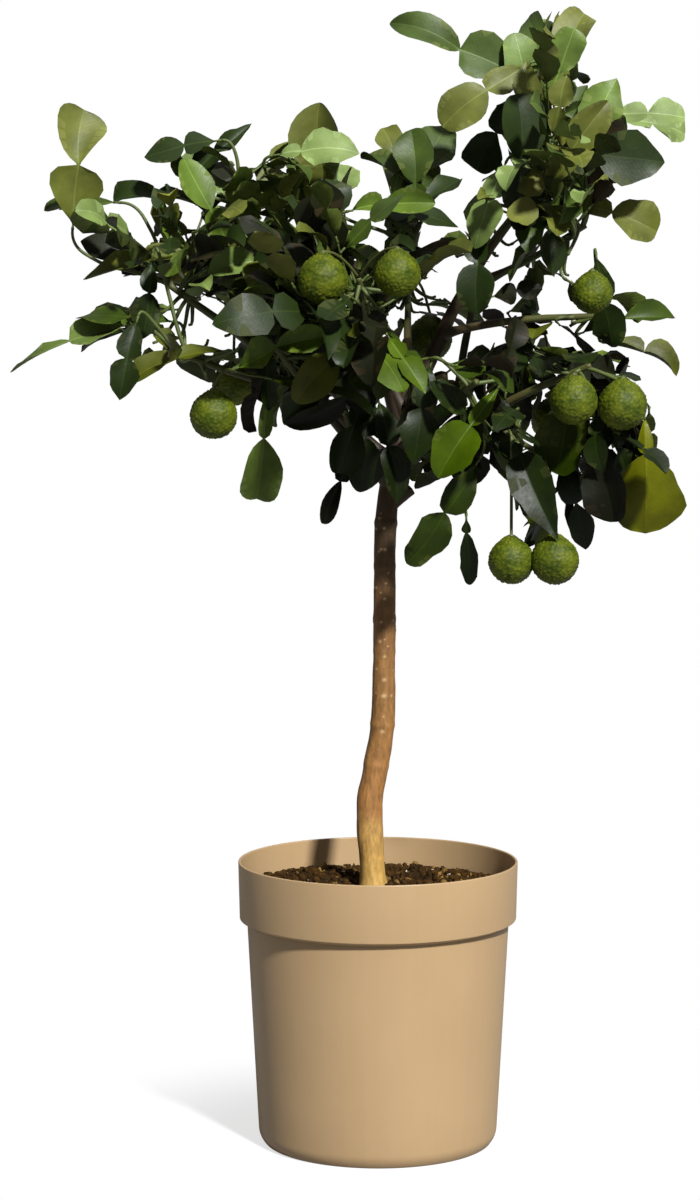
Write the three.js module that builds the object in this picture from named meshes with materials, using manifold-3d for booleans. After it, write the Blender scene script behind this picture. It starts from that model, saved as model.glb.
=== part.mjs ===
// Potted makrut lime (Citrus hystrix), a young standard tree in a moulded plastic pot.
// Millimetres, +Z up. The origin is the middle of the pot's flat underside; the front is seen along +Y.
//
// A clear trunk with a slight kink stands in the soil. Boughs leave its upper third, or the boughs below
// them, and each carries one mass of foliage: shoots that part from the bough's tip, with the double,
// hourglass-shaped leaves of the species set round them in a spiral. A mass keeps to its own space: a shoot
// or a leaf that would come near a limb, a fruit or another leaf, or stray in among another mass's shoots,
// is left out.
import * as THREE from "three";
import { mergeVertices } from "three/addons/utils/BufferGeometryUtils.js";
import Module from "manifold-3d";

const wasm = await Module();
wasm.setup();

// Driving dimensions of the pot and its soil
const POT = {
  height: 305,
  rimRadius: 150,
  collarHeight: 62,
  collarTaper: 1.5,
  ledge: 5,
  bodyRadius: 140,
  heelRadius: 130.5,
  heelHeight: 40,
  footRadius: 119,
  footBevel: 6,
  wall: 3,
  floor: 4,
  sides: 40,
  holes: 6,
  holeRadius: 6,
  holeCircle: 78,
  holeSides: 12,
};
// The soil lies level round the trunk and is heaped part of the way out to the wall
const SOIL = { level: 274, mound: 6, levelTo: 0.2, moundAt: 0.7 };

// The hair's breadth between pieces that touch, and how near points lie that joining merges
const GAP = 0.3;
const WELD = 0.1;

// The trunk's centre line and radius (x, y, z, radius), from the flat cut at the soil to its fork
const TRUNK = [
  [-4.5, 0, SOIL.level + GAP, 16],
  [-5.5, 0, 290, 13.7],
  [-9, 1, 345, 13.9],
  [-8.5, 2, 370, 13.9],
  [-2, 3, 408, 13.2],
  [4.5, 2, 447, 12.8],
  [6.5, 0, 510, 12.1],
  [7, -2, 590, 11.7],
  [8, -1, 665, 11.4],
  [14, 2, 715, 10.9],
  [24, 4, 762, 10],
  [38, 4, 800, 8.8],
];
// A side branch that was pruned away close to the trunk
const STUB = { from: [10, 0, 684], to: [35, -6, 704], radii: [7, 5.5] };
const TRUNK_SIDES = 12;

// Each bough: the limb it leaves and how far along it, where its own tip is, how far its middle is drawn up
// from the straight line, and its radii at both ends
const BOUGHS = {
  tower: { from: "trunk", at: 1, tip: [158, -6, 1012], bow: 0, radii: [8.4, 4.2] },
  left: { from: "trunk", at: 0.86, tip: [-190, -10, 898], bow: 14, radii: [7.6, 4] },
  low_left: { from: "left", at: 0.45, tip: [-176, -72, 838], bow: -6, radii: [4.6, 3.4] },
  upper_left: { from: "left", at: 0.6, tip: [-138, 0, 968], bow: -16, radii: [4.4, 3.2] },
  front_left: { from: "trunk", at: 0.82, tip: [-92, -110, 838], bow: -8, radii: [6.4, 3.8] },
  front: { from: "trunk", at: 0.92, tip: [-14, -120, 896], bow: -12, radii: [5.6, 3.6] },
  upper_centre: { from: "trunk", at: 0.96, tip: [-56, 4, 945], bow: 10, radii: [6, 3.6] },
  crest: { from: "upper_centre", at: 0.5, tip: [26, -34, 948], bow: 4, radii: [4.2, 3.2] },
  right_high: { from: "tower", at: 0.55, tip: [186, 16, 962], bow: -10, radii: [4.6, 3.2] },
  right: { from: "tower", at: 0.3, tip: [196, -36, 886], bow: 8, radii: [5, 3.4] },
  low_right: { from: "trunk", at: 0.84, tip: [184, -84, 822], bow: 16, radii: [6.4, 3.8] },
  hanging_right: { from: "low_right", at: 0.5, tip: [136, -64, 764], bow: 8, radii: [4, 3] },
  low_centre: { from: "trunk", at: 0.88, tip: [80, -96, 806], bow: 12, radii: [5, 3.2] },
  skirt: { from: "front_left", at: 0.35, tip: [-34, -66, 784], bow: 2, radii: [4, 3] },
  back_left: { from: "trunk", at: 0.9, tip: [-128, 116, 872], bow: 0, radii: [6.6, 3.8] },
  back_top: { from: "back_left", at: 0.5, tip: [-58, 104, 975], bow: -10, radii: [4.6, 3.2] },
  back: { from: "trunk", at: 0.94, tip: [34, 146, 900], bow: 0, radii: [5.8, 3.6] },
  back_right: { from: "trunk", at: 0.87, tip: [152, 104, 848], bow: 6, radii: [6.4, 3.8] },
  back_high: { from: "back_right", at: 0.5, tip: [112, 86, 968], bow: -8, radii: [4.6, 3.2] },
};
const BOUGH_SIDES = 6;
const BOUGH_SPANS = 4;
const BOUGH_TAPER = 0.8;

// A mean leaf. It is double: a winged stalk nearly as wide as the blade that it carries.
const LEAF = {
  stalk: 7,
  wing: 56,
  wingWidth: 44,
  wingWidestAt: 0.6,
  blade: 66,
  bladeWidth: 50,
  bladeWidestAt: 0.42,
  footWidth: 1,
  stalkWidth: 2.8,
  waistWidth: 6,
  thickness: 2,
  keel: 0.6,
  cupping: 0.12,
};
const LEAF_LENGTH = LEAF.stalk + LEAF.wing + LEAF.blade;

// How leaves sit on their shoot: how far apart, in how many positions each is tried, how far they open from
// the shoot (radians), how much of the mass's hang they take, their size, the bend at the waist, and how much
// they face outward, upward and at random
const SETTING = {
  spacing: 20,
  tries: 4,
  open: [0.9, 1.25],
  hang: [0.4, 1],
  size: [0.77, 1.07],
  fold: [0.2, 0.55],
  faceOut: 0.7,
  faceUp: 0.5,
  scatter: 0.9,
};
// The last leaf carries its shoot on: how far its foot is sunk in it, its bend, and a leader's scatter
const LAST_LEAF = { sunk: 1.5, fold: [0.1, 0.45], scatter: 0.4 };

// A mass's stem, and the shoots that part from it
const SHOOT = {
  stem: 40,
  stemRadius: 3.2,
  baseRadius: 2.6,
  tipRadius: 2.2,
  bareShare: 0.1,
  span: 55,
  sides: 3,
  firstAt: 0.15,
  lastAt: 0.95,
};
// The shoots that fan out by rule: how far they open from the bough's direction (degrees), their reach as a
// share of the mass's, their last leaf's size, and how much that leaf turns up, less where the mass hangs
const FAN = { open: [28, 78], reach: [0.85, 1.15], size: [0.8, 1], rise: 0.25, droop: 0.5 };
const GOLDEN_ANGLE = THREE.MathUtils.degToRad(137.5);

// How near a shoot or a leaf may come to what has grown before, and how far it may stray past its own space
const CLEARANCE = 1.6;
const STRAY = 45;

// Each mass: the seed of its random numbers, how strongly its leaves hang, how many shoots fan out by rule
// and how far they reach, and the leaders that give the crown its outline. A leader is the place that the tip
// of its last leaf reaches (x, y, z), how many degrees that leaf leans to the right of upright as seen from
// the front, and its size.
const MASSES = {
  tower: {
    seed: 3,
    hang: 0,
    fan: 3,
    reach: 160,
    leaders: [
      [180, -12, 1213, 6, 0.95],
      [216, 20, 1196, 16, 0.8],
      [140, -34, 1196, -12, 0.7],
      [16, -30, 1196, -62, 1.1],
      [70, -76, 1086, -118, 0.62],
      [236, -30, 1142, 24, 0.9],
    ],
  },
  left: {
    seed: 5,
    hang: 0.1,
    fan: 3,
    reach: 150,
    leaders: [
      [-300, -24, 1108, 6, 0.95],
      [-352, 6, 994, -98, 0.7],
      [-318, -44, 941, -94, 0.95],
      [-282, 40, 1014, -88, 0.8],
    ],
  },
  low_left: {
    seed: 8,
    hang: 0.35,
    fan: 3,
    reach: 140,
    leaders: [
      [-394, -64, 829, -104, 0.9],
      [-320, -70, 892, -84, 0.85],
      [-277, -92, 784, -160, 0.75],
    ],
  },
  upper_left: {
    seed: 13,
    hang: 0.1,
    fan: 4,
    reach: 140,
    leaders: [
      [-251, -6, 1060, -84, 0.75],
      [-133, 4, 1092, 30, 0.8],
      [-190, -80, 962, -100, 0.9],
    ],
  },
  front_left: {
    seed: 21,
    hang: 0.5,
    fan: 4,
    reach: 120,
    leaders: [
      [-147, -96, 692, -178, 0.78],
      [-72, -200, 798, -160, 0.9],
      [-58, -178, 882, 60, 0.65],
    ],
  },
  front: {
    seed: 34,
    hang: 0.2,
    fan: 7,
    reach: 150,
    leaders: [],
  },
  upper_centre: {
    seed: 55,
    hang: 0.05,
    fan: 4,
    reach: 120,
    leaders: [
      [-64, 4, 1105, -4, 0.95],
      [-22, -40, 1066, 76, 0.85],
    ],
  },
  crest: {
    seed: 89,
    hang: 0.15,
    fan: 3,
    reach: 130,
    leaders: [
      [6, -50, 1091, -10, 0.8],
      [64, -62, 1085, 22, 0.85],
    ],
  },
  right_high: {
    seed: 144,
    hang: 0.05,
    fan: 3,
    reach: 130,
    leaders: [
      [337, -10, 1106, 82, 0.75],
      [304, -84, 1062, 84, 0.85],
      [300, 10, 975, 102, 0.85],
    ],
  },
  right: {
    seed: 233,
    hang: 0.3,
    fan: 4,
    reach: 120,
    leaders: [
      [314, -20, 900, 72, 0.7],
      [333, -64, 838, 98, 0.75],
    ],
  },
  low_right: {
    seed: 377,
    hang: 0.9,
    fan: 2,
    reach: 110,
    leaders: [
      [292, -118, 658, 172, 1.15],
      [258, -76, 640, 166, 1.05],
      [186, -112, 738, -174, 0.7],
    ],
  },
  hanging_right: {
    seed: 610,
    hang: 0.9,
    fan: 1,
    reach: 120,
    leaders: [
      [168, -96, 633, 172, 1],
      [222, -36, 620, 166, 0.8],
    ],
  },
  low_centre: {
    seed: 987,
    hang: 0.85,
    fan: 2,
    reach: 110,
    leaders: [
      [46, -160, 716, -148, 0.8],
      [32, -110, 608, -152, 1.05],
      [107, -90, 588, 176, 0.85],
    ],
  },
  skirt: {
    seed: 1597,
    hang: 0.8,
    fan: 3,
    reach: 110,
    leaders: [[-56, -84, 674, -166, 0.75]],
  },
  back_left: { seed: 2584, hang: 0.4, fan: 8, reach: 150, leaders: [] },
  back_top: { seed: 4181, hang: 0.1, fan: 6, reach: 130, leaders: [] },
  back: { seed: 6765, hang: 0.3, fan: 8, reach: 145, leaders: [] },
  back_right: { seed: 10946, hang: 0.5, fan: 8, reach: 145, leaders: [] },
  back_high: { seed: 17711, hang: 0.1, fan: 6, reach: 125, leaders: [] },
};

// Each fruit: the mass that bears it, its centre and its radius
const FRUIT = [
  { on: "front_left", at: [-168, -150, 788], radius: 24 },
  { on: "front", at: [-57, -186, 924], radius: 25 },
  { on: "front", at: [17, -192, 930], radius: 23 },
  { on: "right", at: [218, -104, 911], radius: 21 },
  { on: "low_right", at: [196, -160, 803], radius: 24 },
  { on: "low_right", at: [246, -150, 798], radius: 25 },
  { on: "hanging_right", at: [134, -150, 640], radius: 23.5 },
  { on: "hanging_right", at: [178, -158, 641], radius: 24.5 },
  { on: "back_left", at: [-160, 190, 810], radius: 24 },
  { on: "back", at: [60, 222, 860], radius: 25 },
  { on: "back_right", at: [196, 180, 770], radius: 24 },
];
// Its neck starts this share of the radius above the centre and draws up by another share; its stalk
const NECK = { from: 0.8, rise: 0.12 };
const STALK = { radius: 1.8, arch: 5, spans: 3 };
const FRUIT_SIDES = 8;
const FRUIT_RINGS = 5;

const UP = new THREE.Vector3(0, 0, 1);
const VIEWER = new THREE.Vector3(0, -1, 0);
const CROWN_HEART = new THREE.Vector3(0, 0, 850);
const { lerp, degToRad } = THREE.MathUtils;
const vector = (p) => new THREE.Vector3(...p);
const between = ([low, high], roll) => lerp(low, high, roll());

// A geometry's solid, with shared vertices merged and faces that have collapsed to a line left out
function solidOf(geometry) {
  const bare = geometry.clone();
  bare.deleteAttribute("normal");
  bare.deleteAttribute("uv");
  const merged = mergeVertices(bare, 1e-4);
  const index = merged.index.array;
  const kept = [];
  for (let i = 0; i < index.length; i += 3) {
    const [a, b, c] = [index[i], index[i + 1], index[i + 2]];
    if (a !== b && b !== c && c !== a) kept.push(a, b, c);
  }
  return new wasm.Manifold(
    new wasm.Mesh({
      numProp: 3,
      vertProperties: new Float32Array(merged.attributes.position.array),
      triVerts: new Uint32Array(kept),
    }),
  );
}

function geometryOf(solid) {
  const mesh = solid.getMesh();
  const geometry = new THREE.BufferGeometry();
  geometry.setAttribute("position", new THREE.BufferAttribute(mesh.vertProperties, mesh.numProp));
  geometry.setIndex(new THREE.BufferAttribute(mesh.triVerts, 1));
  geometry.computeVertexNormals();
  return geometry;
}

// The largest body of several solids joined: this drops loose scraps and fills hollows that the joining seals
function fused(solids) {
  const bodies = wasm.Manifold.union(solids).simplify(WELD).decompose();
  return bodies.reduce((best, body) => (body.volume() > best.volume() ? body : best));
}

// A closed skin over rings that all have the same number of points; a last ring of one point is a tip
function loft(rings) {
  const count = rings[0].length;
  const index = [];
  for (let i = 2; i < count; i++) index.push(0, i, i - 1);
  let start = 0;
  for (const ring of rings.slice(1)) {
    const next = start + count;
    for (let i = 0; i < count; i++) {
      const j = (i + 1) % count;
      if (ring.length === 1) index.push(start + i, start + j, next);
      else index.push(start + i, start + j, next + j, start + i, next + j, next + i);
    }
    start = next;
  }
  if (rings.at(-1).length > 1) for (let i = 2; i < count; i++) index.push(start, start + i - 1, start + i);
  const geometry = new THREE.BufferGeometry();
  const positions = rings.flat().flatMap((p) => [p.x, p.y, p.z]);
  geometry.setAttribute("position", new THREE.Float32BufferAttribute(positions, 3));
  geometry.setIndex(index);
  return solidOf(geometry);
}

// Two directions square to a third: one level, and the one that completes the set
function across(direction) {
  const side = new THREE.Vector3().crossVectors(direction, UP);
  if (side.length() < 0.05) side.set(1, 0, 0);
  side.normalize();
  return [side, new THREE.Vector3().crossVectors(side, direction).normalize()];
}

// A limb: points along its centre line, a radius at each, and the way that its foot faces
function limbAlong(curve, spans, radiusAt, foot = curve.getTangent(0)) {
  const points = curve.getPoints(spans);
  return { points, radii: points.map((_, i) => radiusAt(i / spans)), foot };
}

function directionAt({ points, foot }, i) {
  if (i === 0) return foot;
  const after = points[Math.min(i + 1, points.length - 1)];
  return after.clone().sub(points[i - 1]).normalize();
}

const endOf = (limb) => limb.points.at(-1);
const endDirection = (limb) => directionAt(limb, limb.points.length - 1);

// The limb's solid, grown by `extra` all round. Its many-sided section is carried along without twisting.
function limbSolid(limb, sides, extra = 0) {
  let [side] = across(limb.foot);
  return loft(
    limb.points.map((centre, i) => {
      const along = directionAt(limb, i);
      side = side.clone().addScaledVector(along, -side.dot(along)).normalize();
      const other = new THREE.Vector3().crossVectors(along, side);
      const radius = limb.radii[i] + extra;
      return Array.from({ length: sides }, (_, k) => {
        const turn = (2 * Math.PI * k) / sides;
        return centre
          .clone()
          .addScaledVector(side, radius * Math.cos(turn))
          .addScaledVector(other, radius * Math.sin(turn));
      });
    }),
  );
}

const trunk = { points: TRUNK.map(vector), radii: TRUNK.map((station) => station[3]), foot: UP };
const limbs = { trunk };

// A bough bows from a point on its parent to its tip. One at the parent's very end carries on from it, a hair
// clear.
function boughLimb({ from, at, tip, bow, radii }) {
  const parent = limbs[from];
  const end = vector(tip);
  const butts = at === 1;
  const start = butts
    ? endOf(parent).clone().addScaledVector(endDirection(parent), GAP)
    : new THREE.CatmullRomCurve3(parent.points).getPointAt(at);
  const middle = butts
    ? start.clone().addScaledVector(endDirection(parent), 0.5 * start.distanceTo(end))
    : start.clone().lerp(end, 0.5);
  const curve = new THREE.QuadraticBezierCurve3(start, middle.addScaledVector(UP, bow), end);
  const limb = limbAlong(curve, BOUGH_SPANS, (t) => lerp(radii[0], radii[1], t ** BOUGH_TAPER));
  if (butts) limb.foot = endDirection(parent);
  return { ...limb, parent, butts };
}
for (const [name, bough] of Object.entries(BOUGHS)) limbs[name] = boughLimb(bough);

// Repeatable random numbers from 0 to 1, by a linear congruential rule
function dice(seed) {
  let state = seed * 7919;
  return () => {
    state = (state * 1664525 + 1013904223) % 4294967296;
    return state / 4294967296;
  };
}

// A shoot leaves the mass's stem part of the way along it and comes in along `aim` to where its last leaf
// begins
function shootTo({ tip, aim, size, leads }, { hub, onward }, share, roll) {
  const end = tip.clone().addScaledVector(aim, -LEAF_LENGTH * size);
  const start = hub.clone().addScaledVector(onward, SHOOT.stem * share);
  const length = Math.max(start.distanceTo(end), 1);
  const curve = new THREE.CubicBezierCurve3(
    start,
    start.clone().lerp(end, 0.2).addScaledVector(onward, 0.12 * length),
    end.clone().addScaledVector(aim, -0.35 * length),
    end,
  );
  const spans = Math.max(1, Math.round(length / SHOOT.span));
  const limb = limbAlong(curve, spans, (t) => lerp(SHOOT.baseRadius, SHOOT.tipRadius, t));
  return { ...limb, aim, length, size, leads, twist: 2 * Math.PI * roll() };
}

// The shoots of one mass: its leaders, and a fan round the bough's direction. Those that turn away from the
// stem most leave it first.
function shootsOf(name) {
  const { seed, leaders, fan, reach, hang } = MASSES[name];
  const roll = dice(seed);
  const onward = endDirection(limbs[name]);
  const hub = endOf(limbs[name]).clone().addScaledVector(onward, GAP);
  const [side, rise] = across(onward);
  const goals = leaders.map(([x, y, z, lean, size]) => {
    const tip = new THREE.Vector3(x, y, z);
    const depth = (0.6 * (y - hub.y)) / tip.distanceTo(hub);
    const aim = new THREE.Vector3(Math.sin(degToRad(lean)), depth, Math.cos(degToRad(lean))).normalize();
    return { tip, aim, size, leads: true };
  });
  for (let i = 0; i < fan; i++) {
    const turn = GOLDEN_ANGLE * i + seed;
    const open = degToRad(between(FAN.open, roll));
    const aim = onward
      .clone()
      .multiplyScalar(Math.cos(open))
      .addScaledVector(side, Math.sin(open) * Math.cos(turn))
      .addScaledVector(rise, Math.sin(open) * Math.sin(turn));
    const tip = hub.clone().addScaledVector(aim, reach * between(FAN.reach, roll));
    aim.addScaledVector(UP, FAN.rise - FAN.droop * hang).normalize();
    goals.push({ tip, aim, size: between(FAN.size, roll), leads: false });
  }
  const turnedAway = ({ tip, aim }) => {
    const lastLeaf = tip.clone().addScaledVector(aim, -LEAF_LENGTH);
    return lastLeaf.sub(hub).angleTo(onward);
  };
  goals.sort((a, b) => turnedAway(b) - turnedAway(a));
  return goals.map((goal, i) => {
    const share = lerp(SHOOT.firstAt, SHOOT.lastAt, i / goals.length);
    return shootTo(goal, { hub, onward }, share, roll);
  });
}

// A leaf leaves its shoot along `way`. Its wing runs to the waist, and from there its blade bends down by
// `fold`.
function leafAt(base, way, face, size, fold, sunk) {
  const side = new THREE.Vector3().crossVectors(way, face).normalize();
  const up = new THREE.Vector3().crossVectors(side, way).normalize();
  const waist = base.clone().addScaledVector(way, LEAF.stalk + LEAF.wing * size);
  const bladeWay = way.clone().multiplyScalar(Math.cos(fold)).addScaledVector(up, -Math.sin(fold));
  const bladeUp = up.clone().multiplyScalar(Math.cos(fold)).addScaledVector(way, Math.sin(fold));
  const tip = waist.clone().addScaledVector(bladeWay, LEAF.blade * size);
  return { base, way, side, up, waist, bladeWay, bladeUp, tip, size, sunk };
}

// The leaf as one thin solid: three-cornered sections, with most of the thickness in a keel below, from its
// foot to a point at the tip. With `extra` it is the room that the leaf needs round it.
function leafSolid({ base, way, side, up, waist, bladeWay, bladeUp, tip, size, sunk }, extra = 0) {
  const section = (start, along, above, distance, width, thickness = LEAF.thickness) => {
    const middle = start.clone().addScaledVector(along, distance);
    const half = width / 2 + extra;
    const lift = LEAF.cupping * half + (1 - LEAF.keel) * thickness + extra;
    const edge = middle.clone().addScaledVector(above, lift);
    return [
      edge.clone().addScaledVector(side, half),
      middle.clone().addScaledVector(above, -LEAF.keel * thickness - extra),
      edge.clone().addScaledVector(side, -half),
    ];
  };
  const wing = LEAF.wing * size;
  const blade = LEAF.blade * size;
  return loft([
    section(base, way, up, -sunk, LEAF.footWidth, LEAF.footWidth),
    section(base, way, up, LEAF.stalk, LEAF.stalkWidth),
    section(base, way, up, LEAF.stalk + LEAF.wingWidestAt * wing, LEAF.wingWidth * size),
    section(base, way, up, LEAF.stalk + wing, LEAF.waistWidth),
    section(waist, bladeWay, bladeUp, LEAF.bladeWidestAt * blade, LEAF.bladeWidth * size),
    [tip.clone().addScaledVector(bladeWay, extra)],
  ]);
}

// The point a given share of the way along a limb's straight spans, and the direction there
function placeOn({ points }, share) {
  const whole = share * (points.length - 1);
  const i = Math.min(Math.floor(whole), points.length - 2);
  const along = points[i + 1].clone().sub(points[i]);
  return [points[i].clone().addScaledVector(along, whole - i), along.normalize()];
}

// The leaf at one place on a shoot. The last one carries the shoot on; the others stand off it at `turn`.
function leafOn(shoot, share, turn, hang, roll) {
  const [base, along] = placeOn(shoot, share);
  const last = share === 1;
  const [side, rise] = across(along);
  const open = between(SETTING.open, roll);
  const spread = along
    .clone()
    .multiplyScalar(Math.cos(open))
    .addScaledVector(side, Math.sin(open) * Math.cos(turn))
    .addScaledVector(rise, Math.sin(open) * Math.sin(turn))
    .addScaledVector(UP, -hang * between(SETTING.hang, roll))
    .normalize();
  const outward = base.clone().sub(CROWN_HEART).normalize();
  const jitter = new THREE.Vector3(roll() - 0.5, roll() - 0.5, roll() - 0.5);
  const shown = shoot.leads && last;
  const face = shown
    ? VIEWER.clone()
    : outward.multiplyScalar(SETTING.faceOut).addScaledVector(UP, SETTING.faceUp);
  face.addScaledVector(jitter, shown ? LAST_LEAF.scatter : SETTING.scatter);
  const size = last ? shoot.size : between(SETTING.size, roll);
  const fold = between(last ? LAST_LEAF.fold : SETTING.fold, roll);
  return leafAt(base, last ? shoot.aim : spread, face, size, fold, last ? LAST_LEAF.sunk : 0);
}

// What one shoot would bear, from its tip back to its bare foot: at each place, the leaf in the positions
// that it may take. The spiral turns on by the golden angle from place to place, and by a part of a turn from
// try to try.
function leavesAlong(name, shoot) {
  const { hang, seed } = MASSES[name];
  const roll = dice(seed + shoot.length);
  const count = Math.floor((shoot.length * (1 - SHOOT.bareShare)) / SETTING.spacing) + 1;
  return Array.from({ length: count }, (_, i) => {
    const share = 1 - (i * SETTING.spacing) / shoot.length;
    const turn = shoot.twist + GOLDEN_ANGLE * i;
    return Array.from({ length: SETTING.tries }, (_, k) =>
      leafOn(shoot, share, turn + (2 * Math.PI * k) / SETTING.tries, hang, roll),
    );
  });
}

// What stands so far: each solid, its box, and the mass whose shoots and leaves may pass through it
const standing = [];

function boxOf(solid) {
  const { min, max } = solid.boundingBox();
  return new THREE.Box3(vector(min), vector(max));
}

const stand = (solid, friend = null) => standing.push({ solid, friend, box: boxOf(solid) });

function isClear(solid, owner) {
  const box = boxOf(solid);
  return standing.every(
    ({ solid: other, friend, box: otherBox }) =>
      friend === owner || !box.intersectsBox(otherBox) || solid.intersect(other).isEmpty(),
  );
}

// The places along a shoot from which distances to it are measured
const SHARES = Array.from({ length: 9 }, (_, i) => i / 8);
const distanceTo = (points, point) => Math.min(...points.map((p) => p.distanceTo(point)));

// A makrut lime: a round fruit, drawn up to a short neck under its stalk
function fruitSolid({ at, radius }, extra = 0) {
  const geometry = new THREE.SphereGeometry(radius + extra, FRUIT_SIDES, FRUIT_RINGS);
  geometry.rotateX(Math.PI / 2);
  const position = geometry.attributes.position;
  for (let i = 0; i < position.count; i++) {
    const z = position.getZ(i);
    if (z > NECK.from * radius) position.setZ(i, z + NECK.rise * radius);
  }
  geometry.translate(...at);
  return solidOf(geometry);
}

// Its stalk arches over from the nearest point of the mass's shoots into the neck
function stalkLimb({ at, radius }, skeleton) {
  const neck = vector(at).addScaledVector(UP, NECK.from * radius);
  const root = skeleton.reduce((best, p) => (p.distanceTo(neck) < best.distanceTo(neck) ? p : best));
  const bend = neck.clone().lerp(root, 0.4).setZ(Math.max(neck.z, root.z) + STALK.arch);
  return limbAlong(new THREE.QuadraticBezierCurve3(root, bend, neck), STALK.spans, () => STALK.radius);
}

// The crown grows in rounds: stems, leaders, fruit, the leaders' last leaves, the fans with theirs, and then
// the other leaves
function growCrown() {
  const masses = {};
  for (const limb of Object.values(limbs)) stand(limbSolid(limb, BOUGH_SIDES, CLEARANCE));
  for (const name of Object.keys(MASSES)) {
    const onward = endDirection(limbs[name]);
    const hub = endOf(limbs[name]).clone().addScaledVector(onward, GAP);
    const line = new THREE.LineCurve3(hub, hub.clone().addScaledVector(onward, SHOOT.stem));
    const stem = limbAlong(line, 1, (t) => lerp(limbs[name].radii.at(-1), SHOOT.stemRadius, t));
    const solid = limbSolid(stem, BOUGH_SIDES);
    stand(solid, name);
    masses[name] = { solids: [solid], skeleton: line.getPoints(2), shoots: [] };
  }

  // A leaf strays when it lies much nearer to another mass's shoots than to its own
  const strays = (name, { waist, tip }) =>
    [waist, tip].some((point) => {
      const own = distanceTo(masses[name].skeleton, point);
      return Object.entries(masses).some(
        ([other, { skeleton }]) => other !== name && distanceTo(skeleton, point) < own - STRAY,
      );
    });
  const growShoot = (name, shoot) => {
    if (!isClear(limbSolid(shoot, SHOOT.sides, CLEARANCE), name)) return;
    const solid = limbSolid(shoot, SHOOT.sides);
    stand(solid, name);
    masses[name].solids.push(solid);
    masses[name].skeleton.push(...SHARES.map((share) => placeOn(shoot, share)[0]));
    masses[name].shoots.push({ shoot, leaves: leavesAlong(name, shoot) });
  };
  const growLeaf = (name, tries) => {
    const leaf = tries.find((one) => !strays(name, one) && isClear(leafSolid(one, CLEARANCE), name));
    if (!leaf) return;
    const solid = leafSolid(leaf);
    stand(solid);
    masses[name].solids.push(solid);
  };
  const everyShoot = (grow) => {
    for (const [name, { shoots }] of Object.entries(masses)) for (const one of shoots) grow(name, one);
  };
  const goals = Object.keys(MASSES).flatMap((name) => shootsOf(name).map((shoot) => ({ name, shoot })));

  for (const { name, shoot } of goals.filter((goal) => goal.shoot.leads)) growShoot(name, shoot);
  for (const fruit of FRUIT) {
    const { solids, skeleton } = masses[fruit.on];
    const stalk = limbSolid(stalkLimb(fruit, skeleton), SHOOT.sides);
    stand(fruitSolid(fruit, CLEARANCE));
    stand(stalk);
    solids.push(fruitSolid(fruit), stalk);
  }
  everyShoot((name, { leaves }) => growLeaf(name, leaves[0]));
  for (const { name, shoot } of goals.filter((goal) => !goal.shoot.leads)) growShoot(name, shoot);
  everyShoot((name, { shoot, leaves }) => !shoot.leads && growLeaf(name, leaves[0]));
  everyShoot((name, { leaves }) => leaves.slice(1).forEach((leaf) => growLeaf(name, leaf)));
  return masses;
}

// The pot: one moulded wall turned round the axis, stepped out to the collar, with drain holes through its
// floor
const collarFoot = POT.height - POT.collarHeight;
const outside = [
  [POT.footRadius, 0],
  [POT.footRadius + POT.footBevel, POT.footBevel],
  [POT.heelRadius, POT.heelHeight],
  [POT.bodyRadius, collarFoot - POT.ledge],
  [POT.rimRadius - POT.collarTaper, collarFoot],
  [POT.rimRadius, POT.height],
];

// The same outline a given distance further in, from the floor up
const inside = (distance) =>
  outside.slice(1).map(([r, z], i) => [r - distance, i === 0 ? z + distance - GAP : z]);

function turned(profile) {
  const geometry = new THREE.LatheGeometry(
    profile.map(([r, z]) => new THREE.Vector2(r, z)),
    POT.sides,
  );
  geometry.rotateX(Math.PI / 2);
  return solidOf(geometry);
}

function potSolid() {
  const body = turned([[0, 0], ...outside, ...inside(POT.wall).reverse(), [0, POT.floor]]);
  const holes = Array.from({ length: POT.holes }, (_, i) => {
    const turn = (2 * Math.PI * i) / POT.holes;
    const drill = new THREE.CylinderGeometry(POT.holeRadius, POT.holeRadius, 4 * POT.floor, POT.holeSides);
    drill.rotateX(Math.PI / 2);
    drill.translate(POT.holeCircle * Math.cos(turn), POT.holeCircle * Math.sin(turn), 0);
    return solidOf(drill);
  });
  return body.subtract(wasm.Manifold.union(holes));
}

// The soil fills the pot to two fingers' width below the rim
function soilSolid() {
  const wall = inside(POT.wall + GAP).filter(([, z]) => z < SOIL.level);
  const radius = POT.rimRadius - POT.wall - GAP - POT.collarTaper;
  return turned([
    [0, POT.floor + GAP],
    ...wall,
    [radius, SOIL.level],
    [SOIL.moundAt * radius, SOIL.level + SOIL.mound],
    [SOIL.levelTo * radius, SOIL.level],
    [0, SOIL.level],
  ]);
}

// Finishes
const finish = (color, roughness) => new THREE.MeshStandardMaterial({ color, roughness, metalness: 0 });
const potPlastic = finish(0xc4a883, 0.45);
const peat = finish(0x3a2a1c, 0.95);
const trunkBark = finish(0x8a6a42, 0.85);
const boughBark = finish(0x4d4a2c, 0.8);
const foliage = finish(0x3f5a22, 0.45);

const tree = new THREE.Group();

function add(name, solid, material) {
  const mesh = new THREE.Mesh(geometryOf(solid), material);
  mesh.name = name;
  tree.add(mesh);
}

add("pot", potSolid(), potPlastic);
add("soil", soilSolid(), peat);

const stub = limbAlong(new THREE.LineCurve3(vector(STUB.from), vector(STUB.to)), 1, (t) =>
  lerp(STUB.radii[0], STUB.radii[1], t),
);
add("trunk", fused([limbSolid(trunk, TRUNK_SIDES), limbSolid(stub, BOUGH_SIDES)]), trunkBark);

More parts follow.
